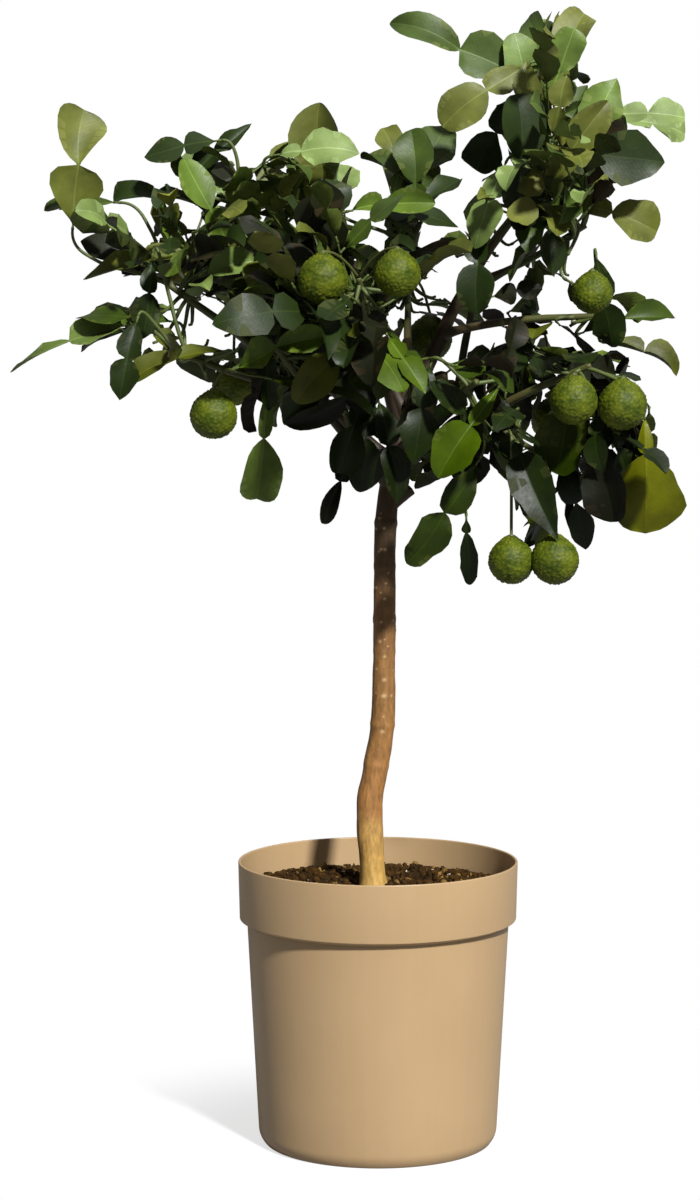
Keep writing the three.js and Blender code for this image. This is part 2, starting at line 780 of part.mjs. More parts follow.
// A bough's foot is cut to the surface of the limb it leaves, a hair clear of it
for (const name of Object.keys(BOUGHS)) {
  const bough = limbs[name];
  const sides = bough.parent === trunk ? TRUNK_SIDES : BOUGH_SIDES;
  const whole = limbSolid(bough, BOUGH_SIDES);
  const solid = bough.butts ? whole : fused([whole.subtract(limbSolid(bough.parent, sides, GAP))]);
  add(`bough_${name}`, solid, boughBark);
}
for (const [name, { solids }] of Object.entries(growCrown())) add(`foliage_${name}`, fused(solids), foliage);

export default tree;
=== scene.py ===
"""A potted makrut lime, a young standard tree in a moulded plastic pot. Metres, +Z up, seen along +Y.

The sections follow the plant as it is put together: the pot, the soil in it, the trunk, the boughs, the
shoots, the leaves and the fruit, and then the floor and the light. Lengths are written in millimetres
times MM."""

import itertools
import math
from functools import partial

import bpy
import numpy as np
from mathutils.bvhtree import BVHTree
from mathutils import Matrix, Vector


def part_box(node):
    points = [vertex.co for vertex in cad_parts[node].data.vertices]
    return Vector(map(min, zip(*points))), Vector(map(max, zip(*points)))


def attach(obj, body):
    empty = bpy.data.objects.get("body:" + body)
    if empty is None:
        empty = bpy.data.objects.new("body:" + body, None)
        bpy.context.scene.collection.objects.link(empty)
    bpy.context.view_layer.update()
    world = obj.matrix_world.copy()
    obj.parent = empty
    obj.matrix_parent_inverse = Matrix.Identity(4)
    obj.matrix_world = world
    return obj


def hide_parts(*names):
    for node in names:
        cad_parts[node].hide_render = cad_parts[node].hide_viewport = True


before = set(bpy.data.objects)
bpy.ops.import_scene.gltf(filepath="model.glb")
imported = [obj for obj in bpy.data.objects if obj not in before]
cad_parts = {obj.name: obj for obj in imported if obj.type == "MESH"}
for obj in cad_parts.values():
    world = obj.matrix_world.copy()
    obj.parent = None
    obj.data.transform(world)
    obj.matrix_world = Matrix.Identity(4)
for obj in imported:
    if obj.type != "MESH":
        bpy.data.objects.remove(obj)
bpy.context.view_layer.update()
MM = 0.001

# Camera
# It stands well back in front of the pot, at about a seated eye's height above the rim, and looks a little
# down, with a long lens. The focal length is given in pixels of the photograph's height.
CAMERA_AT = (-30 * MM, -3400 * MM, 910 * MM)
CAMERA_PITCH = math.radians(5.45)
PHOTO_HEIGHT_PX = 1200
FOCAL_LENGTH_PX = 3205


def add_object(name, data):
    """An object at the origin, in the scene."""
    thing = bpy.data.objects.new(name, data)
    bpy.context.scene.collection.objects.link(thing)
    return thing


camera = add_object("camera", bpy.data.cameras.new("camera"))
camera.data.lens = camera.data.sensor_width * FOCAL_LENGTH_PX / PHOTO_HEIGHT_PX
camera.location = CAMERA_AT
camera.rotation_euler = (math.pi / 2 - CAMERA_PITCH, 0, 0)
bpy.context.scene.camera = camera

# Pot
# The real pot is injection-moulded polypropylene, 3 mm thick: one wall with a taller collar stepped out at
# the top, a rounded heel, and drain holes in its floor. It stands on the ring of its foot.
POT_SIDES = 224
POT_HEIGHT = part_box("pot")[1].z
POT_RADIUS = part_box("pot")[1].x
COLLAR_FOOT = POT_HEIGHT - 62 * MM
POT_WALL = 3 * MM
POT_FLOOR = 4 * MM
DRAIN_HOLES = {"radius": 6 * MM, "circle": 78 * MM, "count": 6}
# Corners of the wall's outline (radius, height) and how far each is rounded, from the middle of the
# underside out, up the outside, over the rim and down the inside
POT_OUTLINE = [
    (0, 1.2 * MM, 0),
    (106 * MM, 1.2 * MM, 1 * MM),
    (108 * MM, 0, 1 * MM),
    (122 * MM, 0, 2 * MM),
    (128.2 * MM, 8 * MM, 7 * MM),
    (140.5 * MM, COLLAR_FOOT - 4 * MM, 0.8 * MM),
    (139 * MM, COLLAR_FOOT - 2 * MM, 0.6 * MM),
    (139 * MM, COLLAR_FOOT + 1 * MM, 0.6 * MM),
    (POT_RADIUS - 1.5 * MM, COLLAR_FOOT, 1.3 * MM),
    (POT_RADIUS, POT_HEIGHT, 1.4 * MM),
    (POT_RADIUS - POT_WALL, POT_HEIGHT, 1.4 * MM),
    (POT_RADIUS - 1.5 * MM - POT_WALL, COLLAR_FOOT, 3 * MM),
    (140 * MM - POT_WALL, COLLAR_FOOT - 6 * MM, 3 * MM),
    (127.5 * MM, 40 * MM, 20 * MM),
    (122 * MM, POT_FLOOR, 6 * MM),
    (0, POT_FLOOR, 0),
]


def linear(colour):
    """The linear colour of an sRGB hex value: each channel follows the sRGB curve back to light."""
    channels = np.array([int(colour[i : i + 2], 16) for i in (1, 3, 5)]) / 255
    light = np.where(channels <= 0.04045, channels / 12.92, ((channels + 0.055) / 1.055) ** 2.4)
    return (*light.tolist(), 1.0)


def add_node(material, kind, sockets=(), stops=(), **settings):
    """Adds a shader node with its settings, its colour stops and what its sockets hold: a value, or the
    socket that it is linked to, where a node stands for its first output."""
    node = material.node_tree.nodes.new("ShaderNode" + kind)
    for name, value in settings.items():
        setattr(node, name, value)
    for socket, value in dict(sockets).items():
        value = value.outputs[0] if isinstance(value, bpy.types.Node) else value
        if isinstance(value, bpy.types.NodeSocket):
            material.node_tree.links.new(value, node.inputs[socket])
        else:
            node.inputs[socket].default_value = value
    for i, (place, colour) in enumerate(stops):
        stop = node.color_ramp.elements[i] if i < 2 else node.color_ramp.elements.new(place)
        stop.position = place
        stop.color = linear(colour)
    return node


def new_material(name):
    """An empty node material, the function that adds its nodes, and the place on the object in metres that
    its patterns go by."""
    material = bpy.data.materials.new(name)
    material.use_nodes = True
    material.node_tree.nodes.clear()
    add = partial(add_node, material)
    return material, add, add("TexCoord").outputs["Object"]


def finish_material(material, colour, relief, strength, distance, sockets):
    """Ends a material with its surface: its colour, a bump whose relief is given with its strength and its
    full height, and what its other sockets hold."""
    bump = add_node(material, "Bump", {"Height": relief, "Strength": strength, "Distance": distance})
    surface = add_node(material, "BsdfPrincipled", {"Base Color": colour, "Normal": bump, **sockets})
    add_node(material, "OutputMaterial", {"Surface": surface})
    return material


def rounded(outline, steps=6):
    """Rounds the corners of an outline: each is cut back along both its sides by its own length, and a
    quadratic curve that is drawn to the corner joins the cuts."""
    corners = np.array(outline)
    points = [corners[:1, :2]]
    for before, here, after in zip(corners, corners[1:], corners[2:]):
        ways = [(other[:2] - here[:2]) for other in (before, after)]
        cuts = [here[:2] + way / np.linalg.norm(way) * here[2] for way in ways]
        t = np.linspace(0, 1, steps + 1)[:, None]
        points.append((1 - t) ** 2 * cuts[0] + 2 * t * (1 - t) * here[:2] + t**2 * cuts[1])
    return np.concatenate([*points, corners[-1:, :2]])


def grid_faces(rows, columns):
    """Quads between the points of a grid that is held row by row, with its columns closed to a ring."""
    row, column = np.meshgrid(np.arange(rows - 1), np.arange(columns), indexing="ij")
    after = (column + 1) % columns
    corners = [row * columns + column, row * columns + after]
    corners += [(row + 1) * columns + after, (row + 1) * columns + column]
    return np.stack(corners, -1).reshape(-1, 4)


def add_mesh(name, points, *face_groups):
    """A smooth-shaded mesh from an array of points and arrays of faces, each with one corner count."""
    mesh = bpy.data.meshes.new(name)
    corners = np.concatenate([faces.ravel() for faces in face_groups])
    counts = np.concatenate([np.full(len(faces), faces.shape[1]) for faces in face_groups])
    mesh.vertices.add(len(points))
    mesh.vertices.foreach_set("co", np.ascontiguousarray(points, np.float32).ravel())
    mesh.loops.add(len(corners))
    mesh.loops.foreach_set("vertex_index", corners.astype(np.int32))
    mesh.polygons.add(len(counts))
    mesh.polygons.foreach_set("loop_start", (np.cumsum(counts) - counts).astype(np.int32))
    mesh.polygons.foreach_set("use_smooth", np.ones(len(counts), bool))
    mesh.update(calc_edges=True)
    return mesh


def add_piece(name, mesh, materials, nodes):
    """A piece at the origin that is part of the plant's one body, in the place of the plain nodes named."""
    piece = add_object(name, mesh)
    for material in materials:
        mesh.materials.append(material)
    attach(piece, "root")
    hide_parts(*nodes)
    return piece


def capped(rings, ends):
    """A closed surface: rings of points, an array of rows by sides, with quads between them and a fan of
    triangles to a middle point at either end. The rings run anticlockwise as seen from the last one's end.
    Returns points, quads and triangles."""
    rows, sides = rings.shape[:2]
    here = np.arange(sides)
    after = (here + 1) % sides
    last = (rows - 1) * sides
    foot = np.stack([np.full(sides, last + sides), after, here], -1)
    tip = np.stack([np.full(sides, last + sides + 1), last + here, last + after], -1)
    return np.concatenate([rings.reshape(-1, 3), ends]), grid_faces(rows, sides), np.concatenate([foot, tip])


def turned(outline, sides):
    """A surface of revolution: each outline point (r, z) goes round to (r cos a, r sin a, z). The outline
    starts and ends on the axis."""
    angle = np.arange(sides) * 2 * math.pi / sides
    radius, height = outline[1:-1].T
    ring = np.stack([np.cos(angle), np.sin(angle), np.zeros(sides)], -1)
    rings = ring[None] * radius[:, None, None] + np.array([0, 0, 1]) * height[:, None, None]
    return capped(rings, [[0, 0, outline[0, 1]], [0, 0, outline[-1, 1]]])


def joined(parts):
    """Several meshes' arrays (points, quads, triangles) as one."""
    starts = np.cumsum([0] + [len(part[0]) for part in parts])
    merged = [np.concatenate([part[0] for part in parts])]
    for kind in range(1, len(parts[0])):
        merged.append(np.concatenate([part[kind] + start for part, start in zip(parts, starts)]))
    return merged


def cut_holes(piece, radius, circle, count):
    """Drills straight holes through the piece's floor, evenly round a circle."""
    outline = np.array([[0, -10], [1, -10], [1, 10], [0, 10]]) * [radius, MM]
    drills = []
    for turn in np.arange(count) * 2 * math.pi / count:
        points, *faces = turned(outline, 32)
        drills.append((points + [circle * math.cos(turn), circle * math.sin(turn), 0], *faces))
    drill = add_object("drill", add_mesh("drill", *joined(drills)))
    cut = piece.modifiers.new("holes", "BOOLEAN")
    cut.object = drill
    cut.operation = "DIFFERENCE"
    graph = bpy.context.evaluated_depsgraph_get()
    mesh = bpy.data.meshes.new_from_object(piece.evaluated_get(graph))
    piece.modifiers.clear()
    piece.data = mesh
    bpy.data.objects.remove(drill)


# Sand-coloured polypropylene, moulded with a fine spark-eroded grain: satin, a little lighter where it is
# worn, with faint upright flow marks and dust round the heel
pot_plastic, add, place = new_material("moulded_polypropylene")
cloud = add("TexNoise", {"Vector": place, "Scale": 1 / (90 * MM), "Detail": 3})
upright = add("Mapping", {"Vector": place, "Scale": (1, 1, 0.06)})
streaks = add("TexNoise", {"Vector": upright, "Scale": 1 / (9 * MM), "Detail": 2})
mixed = add("Math", {0: streaks, 1: 0.35, 2: cloud}, operation="MULTIPLY_ADD")
tone = add("ValToRGB", {"Fac": mixed}, [(0.4, "#a78b66"), (1, "#ad916b")])
height = add("SeparateXYZ", {"Vector": place}).outputs["Z"]
heel = add("MapRange", {"Value": height, "From Min": 55 * MM, "From Max": 0, "To Max": 0.35})
specks = add("TexNoise", {"Vector": place, "Scale": 1 / (14 * MM), "Detail": 5})
dust = add("Math", {0: heel, 1: specks}, operation="MULTIPLY")
dusty = add("Mix", {0: dust, 6: tone, 7: linear("#8d7250")}, data_type="RGBA")
grain = add("TexNoise", {"Vector": place, "Scale": 1 / (0.9 * MM), "Detail": 2})
satin = add("MapRange", {"Value": cloud, "To Min": 0.36, "To Max": 0.5})
finish_material(pot_plastic, dusty.outputs[2], grain, 0.12, 0.05 * MM, {"Roughness": satin, "IOR": 1.49})

pot_mesh = add_mesh("pot_shell", *turned(rounded(POT_OUTLINE), POT_SIDES))
pot = add_piece("pot_shell", pot_mesh, [pot_plastic], ["pot"])
cut_holes(pot, **DRAIN_HOLES)

# Soil
# The potting mix is composted bark and peat with perlite, poured in and pressed down round the trunk. Its
# top is crumbly, heaped a little on both sides of the trunk, with loose clods, bark chips and white grit.
SOIL_LEVEL = 274 * MM
SOIL_RADIUS = POT_RADIUS - POT_WALL - 1.8 * MM
SOIL_RINGS = 110
SOIL_SIDES = 300
# Each heap: where its top is (x, y), how high it is and how far it spreads
HEAPS = [
    (-78 * MM, 34 * MM, 13 * MM, 40 * MM),
    (-30 * MM, 66 * MM, 5 * MM, 26 * MM),
    (44 * MM, 70 * MM, 9 * MM, 26 * MM),
    (84 * MM, 36 * MM, 10 * MM, 32 * MM),
    (108 * MM, -10 * MM, 6 * MM, 30 * MM),
    (20 * MM, -70 * MM, 4 * MM, 50 * MM),
]
# What lies loose on it: how many lumps, their least and greatest size, and the seed they are strewn by
LUMPS = {
    "soil_clods": (5200, 0.7 * MM, 5 * MM, 11),
    "soil_bark_chips": (420, 1.3 * MM, 5.4 * MM, 12),
    "soil_perlite": (260, 0.8 * MM, 3.2 * MM, 13),
}
LUMPS_WITHIN = 0.97


def smooth_noise(points, size, seed):
    """Smooth noise from -1 to 1: random values at the corners of cubes of the given size, blended across
    each cube by smoothstep."""
    values = np.random.default_rng(seed).uniform(-1, 1, (32, 32, 32))
    cell = np.floor(points / size).astype(int)
    t = points / size - cell
    t = t * t * (3 - 2 * t)
    total = np.zeros(points.shape[:-1])
    for corner in np.ndindex(2, 2, 2):
        weight = np.prod(np.where(np.array(corner) == 1, t, 1 - t), -1)
        total += weight * values[tuple(np.moveaxis((cell + corner) % 32, -1, 0))]
    return total


def soil_height(x, y):
    """Height of the soil's top: its level, plus a bell-shaped heap at each place, plus noise in three
    sizes, all fading a little towards the wall."""
    flat = np.stack([x, y, np.zeros_like(x)], -1)
    height = SOIL_LEVEL + np.zeros_like(x)
    for heap_x, heap_y, rise, spread in HEAPS:
        height += rise * np.exp(-((x - heap_x) ** 2 + (y - heap_y) ** 2) / (2 * (0.6 * spread) ** 2))
    for size, rise in ((16 * MM, 1.5 * MM), (6 * MM, 1.1 * MM), (2.4 * MM, 0.6 * MM)):
        height += rise * smooth_noise(flat + 1, size, 7)
    return height


def scattered(count, least, greatest, seed):
    """Small lumps strewn over the soil: an icosahedron each, stretched, knocked out of shape and turned at
    random, half sunk in the surface. Small ones are the most frequent, by the fourth power of an even share.
    Returns their points and triangles."""
    rng = np.random.default_rng(seed)
    golden = (1 + math.sqrt(5)) / 2
    solid = np.array([(s, t * golden, 0) for s in (-1, 1) for t in (-1, 1)])
    corners = np.concatenate([solid, solid[:, [2, 0, 1]], solid[:, [1, 2, 0]]]) / math.hypot(1, golden)
    near = np.linalg.norm(corners[:, None] - corners[None], axis=-1) < 1.1
    triples = itertools.combinations(range(12), 3)
    triangles = np.array([(a, b, c) for a, b, c in triples if near[a, b] and near[b, c] and near[a, c]])
    a, b, c = (corners[column] for column in triangles.T)
    inward = np.einsum("ij,ij->i", a + b + c, np.cross(b - a, c - a)) < 0
    triangles[inward] = triangles[inward][:, [0, 2, 1]]
    radius = SOIL_RADIUS * LUMPS_WITHIN * np.sqrt(rng.random(count))
    angle = rng.random(count) * 2 * math.pi
    size = least + (greatest - least) * rng.random(count) ** 4
    shape = corners[None] * (1 + 0.28 * rng.uniform(-1, 1, (count, 12, 1)))
    shape = shape * rng.uniform(0.6, 1.25, (count, 1, 3)) * size[:, None, None]
    spin = np.linalg.qr(rng.normal(size=(count, 3, 3)))[0]
    spin[:, :, 0] *= np.sign(np.linalg.det(spin))[:, None]
    shape = np.einsum("kij,kpj->kpi", spin, shape)
    x, y = radius * np.cos(angle), radius * np.sin(angle)
    place = np.stack([x, y, soil_height(x, y) + 0.25 * size], -1)
    faces = triangles[None] + 12 * np.arange(count)[:, None, None]
    return (shape + place[:, None]).reshape(-1, 3), faces.reshape(-1, 3)


def soil_material(name, dark, pale, crumb):
    """A matt, crumbly material that goes from its dark to its pale colour from crumb to crumb."""
    material, add, place = new_material(name)
    patch = add("TexNoise", {"Vector": place, "Scale": 1 / crumb, "Detail": 6, "Roughness": 0.65})
    tone = add("ValToRGB", {"Fac": patch}, [(0.32, dark), (0.68, pale)])
    rough = add("TexNoise", {"Vector": place, "Scale": 1 / (1.2 * MM), "Detail": 4})
    sockets = {"Roughness": 0.93, "Specular IOR Level": 0.12}
    return finish_material(material, tone, rough, 0.7, 0.6 * MM, sockets)


# Moist peat, as it lies when pressed down; peat crumbs, dry and paler on top; bark chips, composted to a soft
# brown; and expanded perlite, white but stained by the peat
SOIL_MATERIALS = {
    "soil_bed": soil_material("moist_peat", "#100903", "#38260f", 9 * MM),
    "soil_clods": soil_material("crumbled_peat", "#0e0802", "#48300f", 12 * MM),
    "soil_bark_chips": soil_material("composted_bark", "#3a2810", "#8c6d38", 12 * MM),
    "soil_perlite": soil_material("expanded_perlite", "#b3a792", "#e0d8c8", 6 * MM),
}
# The soil's side follows the pot's inner wall: corners (radius, height)
SOIL_SIDE = np.array([
    (0, POT_FLOOR), (121 * MM, POT_FLOOR), (127 * MM, 40 * MM), (136.3 * MM, 236 * MM), (145 * MM, 246 * MM),
])
radii = np.linspace(SOIL_RADIUS, 0, SOIL_RINGS, endpoint=False)
soil_top = np.stack([radii, np.full(SOIL_RINGS, SOIL_LEVEL)], -1)
soil_outline = np.concatenate([SOIL_SIDE + [0, 0.3 * MM], soil_top, [(0, SOIL_LEVEL)]])
soil_points, *soil_faces = turned(soil_outline, SOIL_SIDES)
on_top = soil_points[:, 2] >= SOIL_LEVEL - 0.1 * MM
soil_points[on_top, 2] = soil_height(soil_points[on_top, 0], soil_points[on_top, 1])
soil_parts = {"soil_bed": (soil_points, *soil_faces)}
soil_parts.update({name: scattered(*facts) for name, facts in LUMPS.items()})
for name, part in soil_parts.items():
    add_piece(name, add_mesh(name, *part), [SOIL_MATERIALS[name]], ["soil"])

# Trunk
# One clear stem, bare to two thirds of its height, with smooth thin bark that is straw-coloured at the foot
# and darkens upwards, with painted shade of the crown at the top. It has a kink low down, raised pores, and a
# callused stub where a side branch was cut.
# Stations up the middle of the trunk and of the stub: (x, y, z) and the radius
TRUNK = np.array([
    (-4.5, 0, 273.6, 16), (-5.5, 0, 290, 13.7), (-9, 1, 345, 13.9), (-8.5, 2, 370, 13.9), (-2, 3, 408, 13.2),
    (4.5, 2, 447, 12.8), (6.5, 0, 510, 12.1), (7, -2, 590, 11.7), (8, -1, 665, 11.4), (14, 2, 715, 10.9),
    (24, 4, 762, 10), (38, 4, 800, 8.8),
]) * MM
STUB = np.array([(10, 0, 684, 7.4), (26, -4, 697, 6.2), (35, -6, 704, 5.6)]) * MM
TRUNK_SIDES = 84
TRUNK_RINGS = 430
STUB_SIDES = 28
# The relief of the bark: how far its furrows and then its skin are drawn out along the limb, how broad they
# are and how strong, and how broad and strong its swellings are
FURROWS = ((7, 2.2 * MM, 0.55), (4, 1.2 * MM, 0.3))
SWELLINGS = (22 * MM, 1.4)
# Small corky pores all round: how many, their least and greatest size in millimetres, and how far they rise
PORES = 60
PORE_SIZES = (0.7, 1.6)
PORE_RISE = 0.5 * MM
# The largest pores, at the front: height and size
FRONT_PORES = ((446, 2.4), (484, 2.8), (502, 2.1), (527, 1.8), (588, 1.6), (640, 1.8))
# Low rings of callus where leaves and twigs once stood: height and rise
CALLUSES = ((408, 0.5), (452, 0.7), (531, 0.4), (566, 0.6), (622, 0.5), (668, 0.9), (712, 0.7))
CALLUS_BREADTH = 4 * MM


def unit(v):
    """Vectors scaled to length 1."""
    return v / np.maximum(np.linalg.norm(v, axis=-1, keepdims=True), 1e-12)


def spline(stations, count):
    """A smooth line through stations of any width: a Catmull-Rom curve whose knots lie apart by the square
    root of the distance between stations, resampled evenly along its length."""
    places = stations[:, :3]
    ends = np.concatenate([[2 * stations[0] - stations[1]], stations, [2 * stations[-1] - stations[-2]]])
    knots = np.concatenate([[0], np.cumsum(np.sqrt(np.linalg.norm(np.diff(ends[:, :3], axis=0), axis=1)))])
    t = np.linspace(knots[1], knots[-2], 40 * len(places))
    k = np.clip(np.searchsorted(knots, t, "right") - 1, 1, len(places) - 1)
    t = t[:, None]
    a, b, c, d = (ends[k + i] for i in (-1, 0, 1, 2))
    ka, kb, kc, kd = (knots[k + i][:, None] for i in (-1, 0, 1, 2))
    ab = a + (b - a) * (t - ka) / (kb - ka)
    bc = b + (c - b) * (t - kb) / (kc - kb)
    cd = c + (d - c) * (t - kc) / (kd - kc)
    abc = ab + (bc - ab) * (t - ka) / (kc - ka)
    bcd = bc + (cd - bc) * (t - kb) / (kd - kb)
    line = abc + (bcd - abc) * (t - kb) / (kc - kb)
    along = np.concatenate([[0], np.cumsum(np.linalg.norm(np.diff(line[:, :3], axis=0), axis=1))])
    even = np.linspace(0, along[-1], count)
    return np.stack([np.interp(even, along, column) for column in line.T], -1)


def frames(points):
    """Along a line, the direction at each point and two others square to it, turned as little as may be."""
    along = unit(np.gradient(points, axis=0))
    side = np.zeros_like(along)
    first = np.cross(along[0], (0, 0, 1))
    side[0] = unit(first) if np.linalg.norm(first) > 0.05 else (1, 0, 0)
    for i in range(1, len(points)):
        side[i] = unit(side[i - 1] - along[i] * (side[i - 1] @ along[i]))
    return along, side, np.cross(along, side)


def ring_round(side, other, sides):
    """Directions that go evenly round each point of a line: side cos a + other sin a."""
    angle = (np.arange(sides) * 2 * math.pi / sides)[:, None]
    return side[:, None] * np.cos(angle) + other[:, None] * np.sin(angle)


def tube(points, radii, sides, relief=0):
    """A tube with closed ends: round each point of the line a ring of the radius there, raised by relief,
    an array of rings by sides. Returns points, quads and triangles."""
    along, side, other = frames(points)
    radius = radii[:, None] + relief
    rings = points[:, None] + ring_round(side, other, sides) * radius[..., None]
    return capped(rings, [points[0], points[-1] + along[-1] * 0.25 * radii[-1]])


def bark_relief(points, radii, sides, seed, depth):
    """How far the bark stands off the limb's mean surface: broad swellings, and noise drawn out along the
    limb to long shallow furrows and a fine skin. Returns the relief and the place of each surface point."""
    _, side, other = frames(points)
    out = ring_round(side, other, sides) * radii[:, None, None]
    surface = points[:, None] + out
    run = np.arange(len(points))[:, None, None] * np.linalg.norm(points[1] - points[0])
    unrolled = np.concatenate([out[..., :2], np.broadcast_to(run, (*out.shape[:2], 1))], -1)
    breadth, strength = SWELLINGS
    relief = strength * smooth_noise(surface + 2, breadth, seed + 2)
    for k, (length, breadth, strength) in enumerate(FURROWS):
        relief = relief + strength * smooth_noise(unrolled / [1, 1, length] + (3 + 2 * k), breadth, seed + k)
    return depth * relief, surface


def mark(mesh, name, values):
    """Gives each point of a mesh a value that its material reads by name."""
    mesh.attributes.new(name, "FLOAT", "POINT").data.foreach_set("value", np.asarray(values, np.float32))


line = spline(TRUNK, TRUNK_RINGS)
trunk_line, trunk_radii = line[:, :3], line[:, 3]
relief, surface = bark_relief(trunk_line, trunk_radii, TRUNK_SIDES, 21, 0.42 * MM)
rng = np.random.default_rng(5)
ring_limits = (TRUNK_RINGS // 3, TRUNK_RINGS - 20)
places = []
for _ in range(PORES):
    places.append((rng.integers(*ring_limits), rng.integers(0, TRUNK_SIDES), rng.uniform(*PORE_SIZES) * MM))
for height, size in FRONT_PORES:
    ring = int(np.argmin(np.abs(trunk_line[:, 2] - height * MM)))
    places.append((ring, int(np.argmin(surface[ring, :, 1])), size * MM))
ring_gap = np.linalg.norm(trunk_line[1] - trunk_line[0])
pore = np.zeros((TRUNK_RINGS, TRUNK_SIDES))
for ring, column, size in places:
    up = (np.arange(TRUNK_RINGS) - ring)[:, None] * ring_gap / (0.75 * size)
    turn = (np.arange(TRUNK_SIDES) - column + TRUNK_SIDES / 2) % TRUNK_SIDES - TRUNK_SIDES / 2
    beside = turn[None] * 2 * math.pi / TRUNK_SIDES * trunk_radii[ring] / size
    pore = np.maximum(pore, np.exp(-(up**2 + beside**2)))
relief = relief + PORE_RISE * pore
for height, rise in CALLUSES:
    swell = np.exp(-(((trunk_line[:, 2] - height * MM) / CALLUS_BREADTH) ** 2))
    relief = relief + rise * MM * swell[:, None]

# Citrus bark, thin and alive, and mottled, with pale corky pores. Its colour goes by height, with a wander of
# a few centimetres: straw at the foot, brown above and nearly black at the top, which is partly darker bark
# and partly painted shade of the crown
BARK_AND_SHADE_TONES = [
    (0, "#bb944c"), (0.1, "#b48a48"), (0.135, "#996a35"), (0.38, "#8d6432"), (0.55, "#7a552b"),
    (0.68, "#4f391d"), (1, "#281d10"),
]
trunk_bark, add, place = new_material("smooth_citrus_bark")
height = add("SeparateXYZ", {"Vector": place}).outputs["Z"]
wander = add("TexNoise", {"Vector": place, "Scale": 1 / (30 * MM), "Detail": 3})
shifted = add("Math", {0: wander, 1: 50 * MM, 2: height}, operation="MULTIPLY_ADD")
rise = add("MapRange", {"Value": shifted, "From Min": 315 * MM, "From Max": 825 * MM})
tone = add("ValToRGB", {"Fac": rise}, BARK_AND_SHADE_TONES)
upright = add("Mapping", {"Vector": place, "Scale": (1, 1, 0.35)})
spots = add("TexNoise", {"Vector": upright, "Scale": 1 / (5 * MM), "Detail": 6, "Roughness": 0.7})
limits = {"From Min": 0.35, "From Max": 0.7, "To Min": 0.62, "To Max": 1.3}
mottled = add("HueSaturation", {"Value": add("MapRange", {"Value": spots, **limits}), "Color": tone})
pale = add("Attribute", attribute_name="pore").outputs["Fac"]
corky = add("Mix", {0: pale, 6: mottled, 7: linear("#c9a878")}, data_type="RGBA")
skin = add("TexNoise", {"Vector": upright, "Scale": 1 / (1.1 * MM), "Detail": 4})
finish_material(trunk_bark, corky.outputs[2], skin, 0.5, 0.25 * MM, {"Roughness": 0.68})

stub = spline(STUB, 40)
stub_relief, _ = bark_relief(stub[:, :3], stub[:, 3], STUB_SIDES, 31, 0.3 * MM)
mesh = add_mesh("trunk_bark", *joined([
    tube(trunk_line, trunk_radii, TRUNK_SIDES, relief),
    tube(stub[:, :3], stub[:, 3], STUB_SIDES, stub_relief),
]))
mark(mesh, "pore", np.concatenate([0.8 * pore.ravel(), np.zeros(len(mesh.vertices) - pore.size)]))
add_piece("trunk_bark", mesh, [trunk_bark], ["trunk"])

# Boughs
# Each is one limb of living wood that leaves the trunk, or a bough below it, in a thickened collar. Its bark
# is brown and ageing at the foot and green-brown at the tip.
# For each: the limb it leaves, how far along that it does, its tip, how far its middle is drawn up from the
# straight line, and its radii at foot and tip
BOUGHS = {
    "tower": ("trunk", 1, (158, -6, 1012), 0, (8.4, 4.2)),
    "left": ("trunk", 0.86, (-190, -10, 898), 14, (7.6, 4)),
    "low_left": ("left", 0.45, (-176, -72, 838), -6, (4.6, 3.4)),
    "upper_left": ("left", 0.6, (-138, 0, 968), -16, (4.4, 3.2)),
    "front_left": ("trunk", 0.82, (-92, -110, 838), -8, (6.4, 3.8)),
    "front": ("trunk", 0.92, (-14, -120, 896), -12, (5.6, 3.6)),
    "upper_centre": ("trunk", 0.96, (-56, 4, 945), 10, (6, 3.6)),
    "crest": ("upper_centre", 0.5, (26, -34, 948), 4, (4.2, 3.2)),
    "right_high": ("tower", 0.55, (186, 16, 962), -10, (4.6, 3.2)),
    "right": ("tower", 0.3, (196, -36, 886), 8, (5, 3.4)),
    "low_right": ("trunk", 0.84, (184, -84, 822), 16, (6.4, 3.8)),
    "hanging_right": ("low_right", 0.5, (136, -64, 764), 8, (4, 3)),
    "low_centre": ("trunk", 0.88, (80, -96, 806), 12, (5, 3.2)),
    "skirt": ("front_left", 0.35, (-34, -66, 784), 2, (4, 3)),
    "back_left": ("trunk", 0.9, (-128, 116, 872), 0, (6.6, 3.8)),
    "back_top": ("back_left", 0.5, (-58, 104, 975), -10, (4.6, 3.2)),
    "back": ("trunk", 0.94, (34, 146, 900), 0, (5.8, 3.6)),
    "back_right": ("trunk", 0.87, (152, 104, 848), 6, (6.4, 3.8)),
    "back_high": ("back_right", 0.5, (112, 86, 968), -8, (4.6, 3.2)),
}
BOUGH_SPANS = 4
BOUGH_TAPER = 0.8
BOUGH_SIDES = 30
BOUGH_STEP = 2 * MM
BOUGH_WANDER = 2 * MM
COLLAR_LENGTH = 9 * MM
COLLAR_RISE = 0.45
# A bough that goes on from its limb's end starts in it, and takes over from its radius within the first of
# this many parts of its length
SUNK = 4 * MM
CARRIED_ON = 14
GAP = 0.3 * MM
# How old the bark is, from 0 at the green end to 1: at the foot of a bough of the trunk, at the foot of
# another's, and at the tip
FOOT_AGES = (0.55, 0.3)
TIP_AGE = 0.12


def bezier(controls, t):
    """A Bezier curve of any degree: its points at the shares t, by the Bernstein sum of its controls."""
    degree = len(controls) - 1
    t = np.asarray(t, float)[:, None]
    weights = [math.comb(degree, k) * t**k * (1 - t) ** (degree - k) for k in range(degree + 1)]
    return sum(weight * np.asarray(control) for weight, control in zip(weights, controls))


limbs = {"trunk": TRUNK[:, :3]}
limb_tips = {"trunk": unit(TRUNK[-1, :3] - TRUNK[-2, :3])}
bough_parts, bough_ages = [], []
